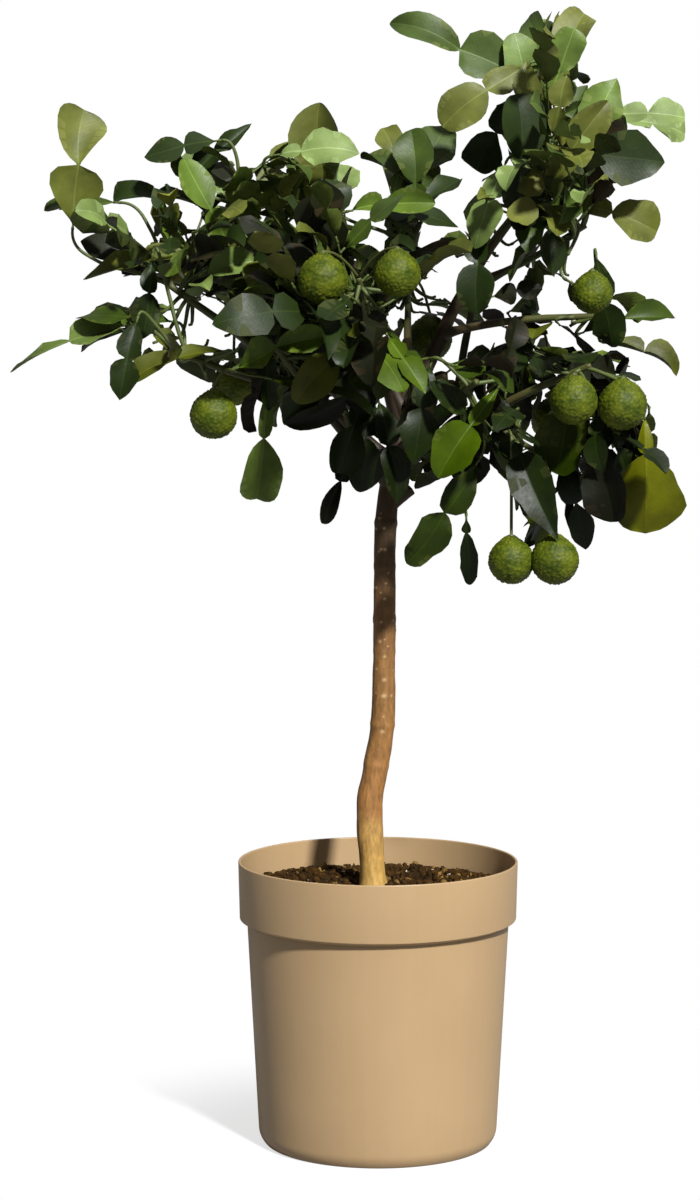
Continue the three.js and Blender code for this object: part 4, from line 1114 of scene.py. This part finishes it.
def leaf_on(shoot, share, turn, mass, attempt, roll):
    """The leaf at one place on a shoot. The last one carries the shoot on; the others stand off it."""
    base, along = place_on(shoot["points"], share)
    last = share == 1
    way = opened(along, between(OPEN, roll), turn)
    _, hang, light, *_ = mass
    way = unit(way + np.array([0, 0, -hang * between(HANG, roll)]))
    jitter = np.array([roll(), roll(), roll()]) - 0.5
    leads = last and shoot["tint"] is not None
    if leads:
        face = np.array(shoot["traits"].get("face", LEADER_FACE)) + jitter * LEADER_SCATTER
    else:
        face = unit(base - CROWN_HEART) * FACE_OUT + np.array([0, 0, FACE_UP]) + jitter * SCATTER
    if last:
        way = unit(shoot["aim"] + (LEADER_JITTER if leads else JITTER) * attempt * jitter)
    size = (shoot["size"] if last else between(shoot["leaf_sizes"], roll)) * (1 - SHRINK * attempt)
    traits = {**LEADER_TRAITS, **shoot["traits"]} if leads else {}
    fold = between(LAST_FOLD if last else FOLD, roll)
    # Painted light and shade: a shoot's last leaf takes lighter tints, and the leaves nearer its foot darker
    # ones
    tint = shoot["tint"] if leads else tint_at(light + (0.3 if last else 0.2 * share - 0.1), roll)
    return new_leaf(base, way, face, size, fold, tint, traits, roll)


def leaves_along(shoot, mass, spacing, roll):
    """What a shoot would bear, from its tip back to its bare foot: at each place, the leaf in the positions
    that it may take. The spiral turns on by the golden angle from place to place."""
    for i in range(int(shoot["length"] * (1 - BARE_SHARE) / spacing) + 1):
        share = 1 - i * spacing / shoot["length"] if i else 1
        turns = shoot["twist"] + GOLDEN_ANGLE * i + 2 * math.pi * np.arange(TRIES) / TRIES
        yield [leaf_on(shoot, share, turn, mass, attempt, roll) for attempt, turn in enumerate(turns)]


# What has grown so far: the search tree of each surface, its box, and whose kin it is
grown_trees, grown_boxes, grown_kin = [], [], []
# What no later leaf may hide from the camera: for each place x and z as it is seen, how far round, and y
kept_in_sight = []
SIGHT = 17 * MM
# The stations of a plain leaf at its waist and half way up its blade
WAIST = len(PLAIN["wing"]) - 1
BLADE_MIDDLE = WAIST + 4
plain_faces = grid_faces(WAIST + 1 + len(PLAIN["blade"]), len(PLAIN["ring"])).tolist()


def grow(points, faces, kin):
    """Adds a surface to what nothing later may pass through, save for its own kin."""
    grown_trees.append(BVHTree.FromPolygons(points.tolist(), faces))
    grown_boxes.append([*points.min(0), *-points.max(0)])
    grown_kin.append(kin)


def is_clear(points, faces, kin=()):
    """Whether a surface meets nothing that has grown, save what is kin to it."""
    near = np.array(grown_boxes)
    near = np.all((near[:, :3] <= points.max(0)) & (-near[:, 3:] >= points.min(0)), axis=1)
    near = [i for i in np.nonzero(near)[0] if grown_kin[i] not in kin]
    if not near:
        return True
    tree = BVHTree.FromPolygons(points.tolist(), faces)
    return not any(tree.overlap(grown_trees[i]) for i in near)


def seen_at(points):
    """Where the camera sees points, as columns: x and z at the trunk's depth."""
    scale = -CAMERA_AT[1] / (points[:, 1] - CAMERA_AT[1])
    x = CAMERA_AT[0] + (points[:, 0] - CAMERA_AT[0]) * scale
    z = CAMERA_AT[2] + (points[:, 2] - CAMERA_AT[2]) * scale
    return x[:, None], z[:, None]


def keep_in_sight(point, reach):
    """Bars the leaves that grow later, save the leaders', from the camera's view of a place."""
    x, z = seen_at(point[None])
    kept_in_sight.append((x.item(), z.item(), reach, point[1]))


def in_opening(points):
    """Whether the camera sees any of the points in one of the crown's openings."""
    x, z = seen_at(points)
    x0, z0, x1, z1, reach = OPENINGS.T
    share = ((x - x0) * (x1 - x0) + (z - z0) * (z1 - z0)) / ((x1 - x0) ** 2 + (z1 - z0) ** 2)
    share = np.clip(share, 0, 1)
    return np.any(np.hypot(x - x0 - share * (x1 - x0), z - z0 - share * (z1 - z0)) < reach)


def outlined(points):
    """Whether the camera sees a leaf inside the crown's outline, bar a small share of its points, clear of
    its openings, and not in front of what is kept in sight. A ray that runs to the right from a point
    inside crosses the outline an odd number of times."""
    x, z = seen_at(points)
    (x0, z0), (x1, z1) = OUTLINE.T, np.roll(OUTLINE, -1, axis=0).T
    spans = (z0 > z) != (z1 > z)
    crossing = x0 + (z - z0) / np.where(z1 == z0, 1, z1 - z0) * (x1 - x0)
    inside = np.count_nonzero(spans & (x < crossing), axis=1) % 2 == 1
    if np.mean(~inside) > OUTSIDE_SHARE or in_opening(points):
        return False
    x0, z0, reach, y0 = np.array(kept_in_sight).T
    return not np.any((np.hypot(x - x0, z - z0) < reach) & (points[:, 1:2] < y0))


def strays(name, points):
    """Whether a leaf lies much nearer to another mass's shoots than to its own at its waist or tip."""
    for point in (points[WAIST, 1], points[-1, 1]):
        gaps = {}
        for other, mass in masses.items():
            gaps[other] = np.linalg.norm(mass["skeleton"] - point, axis=1).min()
        own = gaps.pop(name)
        if min(gaps.values()) < own - STRAY:
            return True
    return False


def grow_leaf(name, candidates, leads=False):
    """Grows the first of a place's candidates that is clear of everything and within the mass's space."""
    surfaces, _ = leaf_surface(candidates, PLAIN)
    low, high = masses[name]["box"]
    reach = LEADER_REACH if leads else REACH
    for leaf, points in zip(candidates, surfaces):
        flat = points.reshape(-1, 3)
        within = np.all(flat.min(0) > low - reach) and np.all(flat.max(0) < high + reach)
        if within and (leads or outlined(flat)) and is_clear(flat, plain_faces) and not strays(name, points):
            grow(flat, plain_faces, None)
            leaves_grown[leads, leaf["tint"]].append(leaf)
            if leads:
                keep_in_sight(points[BLADE_MIDDLE, 1], SIGHT * leaf["size"])
            return True
    return False


def shoot_skin(shoot):
    """A plain six-sided skin round a shoot, a little clear of it."""
    picked = np.unique(np.r_[np.arange(0, len(shoot["points"]), 3), len(shoot["points"]) - 1])
    points, quads, _ = tube(shoot["points"][picked], shoot["girth"][picked] + CLEARANCE, 6)
    return points[:-2], quads.tolist()


def shoot_is_clear(name, shoot):
    """Whether a shoot meets nothing but the stem, the shoots and the bough of its own mass."""
    return is_clear(*shoot_skin(shoot), (name,))


def grow_shoot(name, shoot):
    """Grows a shoot, and adds it to the skeleton of its mass."""
    grow(*shoot_skin(shoot), name)
    picked = np.round(np.linspace(0, len(shoot["points"]) - 1, 9)).astype(int)
    masses[name]["skeleton"] = np.concatenate([masses[name]["skeleton"], shoot["points"][picked]])
    shoot_lines.append(shoot)


masses = {}
shoot_lines = []
leaves_grown = {(leads, tint): [] for leads in (True, False) for tint in TINTS}
for limb_name, (points, quads, _) in zip(["trunk", *BOUGHS], limb_skins):
    grow(points[:-2], quads.tolist(), limb_name)
for name in MASSES:
    hub = limbs[name][-1] + limb_tips[name] * GAP
    stem = np.array([hub, hub + limb_tips[name] * STEM_LENGTH / 2, hub + limb_tips[name] * STEM_LENGTH])
    box = np.array(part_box("foliage_" + name))
    masses[name] = {"skeleton": stem, "shoots": [], "box": box, "roll": dice(MASSES[name][0] + 1)}
    points, quads, _ = tube(stem, np.full(3, STEM_RADIUS), 6)
    grow(points[:-2], quads.tolist(), name)
goals = [(name, *plan) for name in MASSES for plan in shoots_of(name)]


def grow_shoots(leading):
    """Grows the leaders or the fans of every mass, each with its last leaf. One that is in another's way
    swings out further at each try, and a leader grows only with its leaf."""
    for name, goal, hub, onward, share, roll in goals:
        if (goal[3] is not None) != leading:
            continue
        for detour in DETOURS:
            shoot = shoot_to(goal, hub, onward, share, roll, detour)
            if not shoot_is_clear(name, shoot):
                continue
            leaves = leaves_along(shoot, MASSES[name], SPACING, dice(MASSES[name][0] + shoot["length"] / MM))
            if grow_leaf(name, next(leaves), leading) or not leading:
                grow_shoot(name, shoot)
                masses[name]["shoots"].append((shoot, leaves))
                break


# Fruit
# The fruit is round and knobbly, a little drawn out at the neck, and hangs from a short stalk with a small
# green calyx. Unripe, it is mid green; its knobs are painted paler, as a painted highlight, and the hollows
# between them darker, as painted shade.
# For each: the mass that bears it, its centre (x, y, z) and its radius
FRUIT = [
    ("front_left", (-168, -150, 788), 24),
    ("front", (-57, -186, 924), 25),
    ("front", (17, -192, 930), 23),
    ("right", (218, -104, 911), 21),
    ("low_right", (196, -160, 803), 24),
    ("low_right", (246, -150, 798), 25),
    ("hanging_right", (134, -150, 640), 23.5),
    ("hanging_right", (178, -158, 641), 24.5),
    ("back_left", (-160, 190, 810), 24),
    ("back", (60, 222, 860), 25),
    ("back_right", (196, 180, 770), 24),
]
FRUIT_SIDES = 104
FRUIT_ROWS = 72
KNOBS = 620
KNOB_RISE = 0.06
NECK_FROM, NECK_RISE = 0.8, 0.12
FRUIT_STALK_RADIUS = 1.6 * MM
STALK_ARCH = 5 * MM
# The end of the stalk, which broadens to the calyx: height over the fruit's neck and radius, in millimetres
CALYX = np.array([(1.6, 1.6), (0.5, 4.2), (-0.4, 3.99), (-1.4, 2.52)]) * MM


def fruit_surface(centre, radius, sides, rows, seed):
    """A sphere whose radius swells by a bell curve at each knob, the knobs being spread in a spiral of golden
    angles and shaken. Its top is drawn up to a neck. Returns its points and how far up a knob each stands."""
    rng = np.random.default_rng(seed)
    polar = np.linspace(0, math.pi, rows + 1)[1:-1, None]
    turn = (np.arange(sides) * 2 * math.pi / sides)[None]
    out = np.stack([np.sin(polar) * np.cos(turn), np.sin(polar) * np.sin(turn), np.cos(polar) + 0 * turn], -1)
    level = 1 - 2 * (np.arange(KNOBS) + 0.5) / KNOBS
    spin = GOLDEN_ANGLE * np.arange(KNOBS)
    ring = np.sqrt(1 - level**2)
    knobs = np.stack([ring * np.cos(spin), ring * np.sin(spin), level], -1)
    knobs = unit(knobs + rng.normal(0, 0.035, (KNOBS, 3)))
    breadth = rng.uniform(0.045, 0.075, KNOBS)
    height = rng.uniform(0.35, 1.0, KNOBS)
    gap = 2 * (1 - np.clip(out @ knobs.T, -1, 1))
    knob = (height * np.exp(-gap / breadth**2)).max(-1)
    swell = 0.02 * smooth_noise(out + seed, 0.7, seed)
    reach = radius * (1 - 0.4 * KNOB_RISE + KNOB_RISE * knob + swell)
    surface = out * reach[..., None]
    neck = np.clip((out[..., 2] - NECK_FROM) / (1 - NECK_FROM), 0, 1)
    surface[..., 2] += NECK_RISE * radius * neck**2
    points, quads, ends = capped(surface, [[0, 0, radius * (1 + NECK_RISE)], [0, 0, -radius]])
    knob = np.concatenate([knob.ravel(), [0, 0]])
    return (points + np.asarray(centre), quads[:, ::-1], ends[:, [0, 2, 1]]), knob


# Rind: waxy, dotted with oil glands, mid green in blotches, with a painted highlight on the knobs and painted
# shade in the hollows between them
rind, add, place = new_material("citrus_rind")
knob_height = add("Attribute", attribute_name="knob").outputs["Fac"]
knob_highlight = add("Math", {0: knob_height, 1: 0.4}, operation="MULTIPLY")
blotch = add("TexNoise", {"Vector": place, "Scale": 1 / (14 * MM), "Detail": 3})
blotches_and_knob_highlight = add("Math", {0: blotch, 1: 1.1, 2: knob_highlight}, operation="MULTIPLY_ADD")
tone = add("ValToRGB", {"Fac": blotches_and_knob_highlight}, [(0.15, "#1c2804"), (0.5, "#3a4806"), (1, "#646c12")])
glands = add("TexVoronoi", {"Vector": place, "Scale": 1 / (1.3 * MM)})
waxy = {"Roughness": 0.55, "IOR": 1.45, "Specular IOR Level": 0.25}
finish_material(rind, tone, glands, 0.5, 0.2 * MM, waxy)

# The fruit take their room first, the leaders grow round them, and the stalks join the fruit to the shoots
fruit_parts, knob_heights, fruit_stalks = [], [], []
for seed, (name, centre, radius) in enumerate(FRUIT):
    centre, radius = np.array(centre) * MM, radius * MM
    part, knob = fruit_surface(centre, radius, FRUIT_SIDES, FRUIT_ROWS, seed)
    fruit_parts.append(part)
    knob_heights.append(knob)
    (points, quads, ends), _ = fruit_surface(centre, radius + CLEARANCE, 12, 8, seed)
    grow(points, quads.tolist() + ends.tolist(), None)
    keep_in_sight(centre, 0.75 * radius)
grow_shoots(leading=True)
for name, centre, radius in FRUIT:
    centre, radius = np.array(centre) * MM, radius * MM
    neck = centre + [0, 0, (1 + 0.7 * NECK_RISE) * radius]
    skeleton = masses[name]["skeleton"]
    root = skeleton[np.argmin(np.linalg.norm(skeleton - neck, axis=1))]
    bend = neck + 0.4 * (root - neck)
    bend[2] = max(neck[2], root[2]) + STALK_ARCH
    path = bezier((root, bend, neck), np.linspace(0, 1, 16))
    path[-4:] = neck + CALYX[:, :1] * [0, 0, 1]
    girth = np.concatenate([np.full(12, FRUIT_STALK_RADIUS), CALYX[:, 1]])
    fruit_stalks.append((path, girth))
    points, quads, _ = tube(path[:-3], girth[:-3], 6)
    grow(points[:-2], quads.tolist(), name)
mesh = add_mesh("fruit", *joined(fruit_parts))
mark(mesh, "knob", np.concatenate(knob_heights))
bearers = sorted({"foliage_" + name for name, _, _ in FRUIT})
add_piece("fruit", mesh, [rind], bearers)

# The crown's leaves and twigs
# They grow in rounds, so that the leaves that give the crown its outline come first: the leaders' last
# leaves, the fans and theirs, the leaves along all of them, and then the side twigs with theirs.
# How far apart twigs stand, those of the shoots and then those of these twigs. All leave between two shares
# of the shoot, open from it (radians), and turn up to the light, less where the mass hangs
TWIG_EVERY = (9 * MM, 13 * MM)
TWIG_SHARES = (0.12, 0.95)
TWIG_LENGTHS = (26 * MM, 62 * MM)
TWIG_OPEN = (0.6, 1.15)
TWIG_RISE, TWIG_DROOP = 0.35, 0.7
TWIG_TRIES = 8
grow_shoots(leading=False)
for name, mass in masses.items():
    for shoot, leaves in mass["shoots"]:
        for candidates in leaves:
            grow_leaf(name, candidates)


def twig_at(shoot, share, turn, hang, roll):
    """A side twig: it leaves its shoot at an angle and then curves up or down."""
    start, along = place_on(shoot["points"], share)
    way = opened(along, between(TWIG_OPEN, roll), turn)
    length = between(TWIG_LENGTHS, roll)
    aim = unit(way + np.array([0, 0, TWIG_RISE - TWIG_DROOP * hang]))
    controls = (start, start + way * length / 2, start + way * length / 2 + aim * length / 2)
    size = between(TWIG_LEAF_SIZES, roll)
    return new_shoot(controls, aim, size, None, {}, TWIG_RADII, TWIG_LEAF_SIZES, roll)


twig_parents = [(name, shoot) for name, mass in masses.items() for shoot, _ in mass["shoots"]]
for every in TWIG_EVERY:
    twigs = []
    for name, shoot in twig_parents:
        hang, roll = MASSES[name][1], masses[name]["roll"]
        for i in range(int(shoot["length"] / every)):
            share = TWIG_SHARES[0] + 0.8 * (i + roll()) * every / shoot["length"]
            for attempt in range(TWIG_TRIES):
                turn = shoot["twist"] + GOLDEN_ANGLE * (i + attempt)
                twig = twig_at(shoot, min(share, TWIG_SHARES[1]), turn, hang, roll)
                leaves = leaves_along(twig, MASSES[name], TWIG_SPACING, roll)
                clear = not in_opening(twig["points"]) and shoot_is_clear(name, twig)
                if clear and grow_leaf(name, next(leaves)):
                    grow_shoot(name, twig)
                    twigs.append((name, twig))
                    for candidates in leaves:
                        grow_leaf(name, candidates)
                    break
    twig_parents = twigs


# The veins go off the midrib at a slant, so far apart, and rise with the distance from it
VEIN_SPACING = 5 * MM
VEIN_SLANT = -0.9
# Leaves are painted darker at the crown's shaded foot and lighter at its head, as painted shade and light,
# and
# paler up there: between these heights their value and saturation change by factors from the first to the
# second
PAINTED_LIGHT_HEIGHTS = (680 * MM, 1140 * MM)
PAINTED_LIGHT_VALUES = (0.42, 1.3)
PALER_SATURATIONS = (1.1, 0.85)


def leaf_material(name, colour, roughness, veins):
    """A waxy skin over leathery green, blotched in patches of a few centimetres, with side veins pressed in
    by a sine of the slanting distance from the midrib and small blisters between them."""
    material, add, place = new_material(name)
    patch = add("TexNoise", {"Vector": place, "Scale": 1 / (28 * MM), "Detail": 3})
    limits = {"From Min": 0.3, "From Max": 0.7, "To Min": 0.72, "To Max": 1.28}
    value = add("MapRange", {"Value": patch, **limits})
    # Painted shade and light: the leaves' value goes from dark low in the crown to light high up
    height = add("SeparateXYZ", {"Vector": place}).outputs["Z"]
    limits = {"Value": height, "From Min": PAINTED_LIGHT_HEIGHTS[0], "From Max": PAINTED_LIGHT_HEIGHTS[1]}
    level, bleach = (
        add("MapRange", {**limits, "To Min": foot, "To Max": head})
        for foot, head in (PAINTED_LIGHT_VALUES, PALER_SATURATIONS)
    )
    light = add("Math", {0: level, 1: value}, operation="MULTIPLY")
    tone = add("HueSaturation", {"Color": linear(colour), "Value": light, "Saturation": bleach})
    on_leaf = add("SeparateXYZ", {"Vector": add("UVMap", uv_map="leaf")}).outputs
    out = add("Math", {0: on_leaf["X"]}, operation="ABSOLUTE")
    slant = add("Math", {0: out, 1: VEIN_SLANT, 2: on_leaf["Y"]}, operation="MULTIPLY_ADD")
    phase = add("Math", {0: slant, 1: 2 * math.pi / VEIN_SPACING}, operation="MULTIPLY")
    vein = add("Math", {0: phase}, operation="SINE")
    blister = add("TexNoise", {"Vector": place, "Scale": 1 / (4 * MM), "Detail": 3})
    relief = add("Math", {0: vein, 1: veins, 2: blister}, operation="MULTIPLY_ADD")
    gloss = add("MapRange", {"Value": blister, "To Min": roughness - 0.06, "To Max": roughness + 0.1})
    waxy = {"Roughness": gloss, "IOR": 1.45, "Specular IOR Level": 0.24}
    return finish_material(material, tone, relief, 0.5, 0.35 * MM, waxy)


# For each tint: the colours of the upper face, the midrib and the underside, and how rough the face is
# The colours of the shade and sunlit tints are painted shade and painted sunlight
TINT_COLOURS = {
    "shade": ("#171b05", "#202108", "#2c240e", 0.5),
    "deep": ("#1f2d08", "#2a3a10", "#343c14", 0.44),
    "green": ("#36480d", "#445816", "#4a5618", 0.44),
    "olive": ("#545a14", "#626a20", "#606422", 0.46),
    "grass": ("#4f6612", "#657e28", "#607224", 0.42),
    "fresh": ("#667a38", "#7c8f50", "#788a4c", 0.5),
    "sunlit": ("#7a7e12", "#8a8c2c", "#7a7e20", 0.42),
}


def leaves_mesh(groups):
    """The arrays of many leaves' meshes, for groups of leaves that are divided by one plan each: points, each
    one's place on its leaf and whether it is on a margin, quads, the leaves' ends, and what each face is."""
    points, places, margins, quads, ends, kinds = [], [], [], [], [], []
    start = 0
    for leaves, plan in groups:
        if not leaves:
            continue
        surface, on_leaf = leaf_surface(leaves, plan)
        rows, sides = surface.shape[1:3]
        each = rows * sides
        starts = start + each * np.arange(len(leaves))[:, None, None]
        ring = np.array(plan["ring"])
        points.append(surface.reshape(-1, 3))
        places.append(on_leaf.reshape(-1, 2))
        margins.append(np.tile(np.abs(ring[:, 0]) == 1, rows * len(leaves)))
        quads.append((grid_faces(rows, sides)[None] + starts).reshape(-1, 4))
        kinds.append(np.tile(ring[:, 3], (rows - 1) * len(leaves)))
        rim = np.arange(sides)
        for end in (rim[::-1], rim + each - sides):
            fan = np.stack([np.full(sides - 2, end[0]), end[1:-1], end[2:]], -1)
            ends.append((fan[None] + starts).reshape(-1, 3))
        start += each * len(leaves)
    kinds += [np.full(len(end), UNDER) for end in ends]
    return [np.concatenate(arrays) for arrays in (points, places, margins, quads, ends, kinds)]


# How many points of a plain ring lie between its two margins
MARGINS_APART = 3
FOLIAGE = ["foliage_" + name for name in MASSES]
for tint, (face_colour, rib_colour, under_colour, roughness) in TINT_COLOURS.items():
    groups = [(leaves_grown[True, tint], FINE), (leaves_grown[False, tint], PLAIN)]
    points, places, margins, quads, ends, kinds = leaves_mesh(groups)
    mesh = add_mesh("leaves_" + tint, points, quads, ends)
    mesh.polygons.foreach_set("material_index", kinds.astype(np.int32))
    # The edge is sharp along the margins, where the upper side meets the underside
    edges = np.empty(2 * len(mesh.edges), np.int32)
    mesh.edges.foreach_get("vertices", edges)
    edges = edges.reshape(-1, 2)
    sharp = margins[edges].all(1) & (np.abs(edges[:, 0] - edges[:, 1]) > MARGINS_APART)
    mesh.attributes.new("sharp_edge", "BOOLEAN", "EDGE").data.foreach_set("value", sharp)
    corners = np.concatenate([quads.ravel(), ends.ravel()])
    uv = mesh.uv_layers.new(name="leaf")
    uv.data.foreach_set("uv", places[corners].astype(np.float32).ravel())
    skins = [
        leaf_material(tint + "_leaf_face", face_colour, roughness, 0.05),
        leaf_material(tint + "_leaf_midrib", rib_colour, 0.45, 0),
        leaf_material(tint + "_leaf_underside", under_colour, 0.6, 0.2),
    ]
    add_piece("leaves_" + tint, mesh, skins, FOLIAGE)

# Leaf stalks, shoots and twigs
# All are smooth green wood, round and tapered. A leaf's stalk runs from its shoot into the foot of the wing,
# and the shoots run back to the stem that carries the mass on from its bough.
# Rings along a stalk: how far along it and the radius in millimetres
STALK_RINGS = np.array([(0, 1.9), (0.25, 1.5), (0.6, 1.1), (1.08, 1.25)])
STALK_SIDES = 6
STEM_RINGS = 14
# How many sides each has, and how old its bark is
STEM_LOOKS, SHOOT_LOOKS, TWIG_LOOKS, FRUIT_STALK_LOOKS = (12, 0.12), (9, 0.04), (6, 0.04), (10, 0.1)
all_leaves = [leaf for leaves in leaves_grown.values() for leaf in leaves]
base, way, side = (np.array([leaf[key] for leaf in all_leaves]) for key in ("base", "way", "side"))
side = unit(side)
out = ring_round(side, np.cross(way, side), STALK_SIDES)
centre = base[:, None] + way[:, None] * (STALK * STALK_RINGS[:, 0])[:, None]
points = centre[:, :, None] + out[:, None] * (STALK_RINGS[:, 1] * MM)[:, None, None]
starts = len(STALK_RINGS) * STALK_SIDES * np.arange(len(all_leaves))[:, None, None]
quads = (grid_faces(len(STALK_RINGS), STALK_SIDES)[None] + starts).reshape(-1, 4)
rim = np.arange(STALK_SIDES)
ends = np.stack([rim[::-1], rim + (len(STALK_RINGS) - 1) * STALK_SIDES])
mesh = add_mesh("leaf_stalks", points.reshape(-1, 3), quads, (ends[None] + starts).reshape(-1, STALK_SIDES))
mark(mesh, "age", np.zeros(len(mesh.vertices)))
add_piece("leaf_stalks", mesh, [green_bark], FOLIAGE)

lines = []
for name in MASSES:
    path = limbs[name][-1] + limb_tips[name] * (STEM_LENGTH * np.linspace(-0.08, 1, STEM_RINGS))[:, None]
    foot = BOUGHS[name][4][1] * MM
    lines.append((path, foot + (STEM_RADIUS - foot) * np.linspace(0, 1, STEM_RINGS), *STEM_LOOKS))
for shoot in shoot_lines:
    looks = SHOOT_LOOKS if shoot["radii"] is SHOOT_RADII else TWIG_LOOKS
    lines.append((shoot["points"], shoot["girth"], *looks))
lines += [(path, girth, *FRUIT_STALK_LOOKS) for path, girth in fruit_stalks]
mesh = add_mesh("shoots", *joined([tube(path, girth, sides) for path, girth, sides, _ in lines]))
mark(mesh, "age", np.concatenate([np.full(len(path) * sides + 2, age) for path, _, sides, age in lines]))
add_piece("shoots", mesh, [green_bark], FOLIAGE)

# Floor and light
# A pale sweep of seamless paper, a large soft key light high at the right front, and a pale room all round
FLOOR_RADIUS = 30.0
KEY_STRENGTH = 5.6
KEY_BREADTH = math.radians(5)
KEY_HEIGHT = math.radians(41)
KEY_BEARING = math.radians(25)
SKY_STRENGTHS = (0.06, 0.46)
# A dark screen stands to the left, in front: the direction to it, and how much light it leaves
SCREEN_WAY = (-0.85, -0.5, 0.15)
SCREEN_LEAVES = 0.1
# The paper is lit from behind, all but a ring round the pot's foot that takes its shadow
SHADOW_RING = (0.16, 0.42)
SHADOW_SHARE = 0.3
outline = np.array([[0, -2 * MM], [FLOOR_RADIUS, -2 * MM], [FLOOR_RADIUS, 0], [0, 0]])
floor = add_object("floor", add_mesh("floor", *turned(outline, 96)))
floor.data.shade_flat()
paper, add, place = new_material("seamless_paper")
far = add("VectorMath", {0: place}, operation="LENGTH").outputs["Value"]
limits = {"From Min": SHADOW_RING[0], "From Max": SHADOW_RING[1], "To Min": SHADOW_SHARE, "To Max": 0}
share = add("MapRange", {"Value": far, **limits}, interpolation_type="SMOOTHSTEP")
matt = add("BsdfDiffuse", {"Color": linear("#f6f6f6")})
glow = add("Emission", {"Color": (1, 1, 1, 1), "Strength": 1})
seen = add("MixShader", {0: share, 1: glow, 2: matt})
bounced = add("BsdfDiffuse", {"Color": linear("#8c8c8c")})
to_camera = add("LightPath").outputs["Is Camera Ray"]
add("OutputMaterial", {"Surface": add("MixShader", {0: to_camera, 1: bounced, 2: seen})})
floor.data.materials.append(paper)

key = add_object("key", bpy.data.lights.new("key", "SUN"))
key.data.energy = KEY_STRENGTH
key.data.angle = KEY_BREADTH
key.rotation_euler = (math.pi / 2 - KEY_HEIGHT, 0, KEY_BEARING)
world = bpy.data.worlds.new("room")
bpy.context.scene.world = world
world.use_nodes = True
world.node_tree.nodes.clear()
add = partial(add_node, world)
way = add("TexCoord").outputs["Generated"]
way_up = add("SeparateXYZ", {"Vector": way}).outputs["Z"]
limits = {"From Min": -0.1, "From Max": 1, "To Min": SKY_STRENGTHS[0], "To Max": SKY_STRENGTHS[1]}
overhead = add("MapRange", {"Value": way_up, **limits})
toward = add("VectorMath", {0: way, 1: SCREEN_WAY}, operation="DOT_PRODUCT").outputs["Value"]
limits = {"From Min": 0.6, "From Max": 0.9, "To Min": 1, "To Max": SCREEN_LEAVES}
screen = add("MapRange", {"Value": toward, **limits})
strength = add("Math", {0: overhead, 1: screen}, operation="MULTIPLY")
ambient = add("Background", {"Color": (1, 1, 1, 1), "Strength": strength})
backdrop = add("Background", {"Color": (1, 1, 1, 1), "Strength": 1})
to_camera = add("LightPath").outputs["Is Camera Ray"]
add("OutputWorld", {"Surface": add("MixShader", {0: to_camera, 1: ambient, 2: backdrop})})
bpy.context.scene.view_settings.view_transform = "Standard"
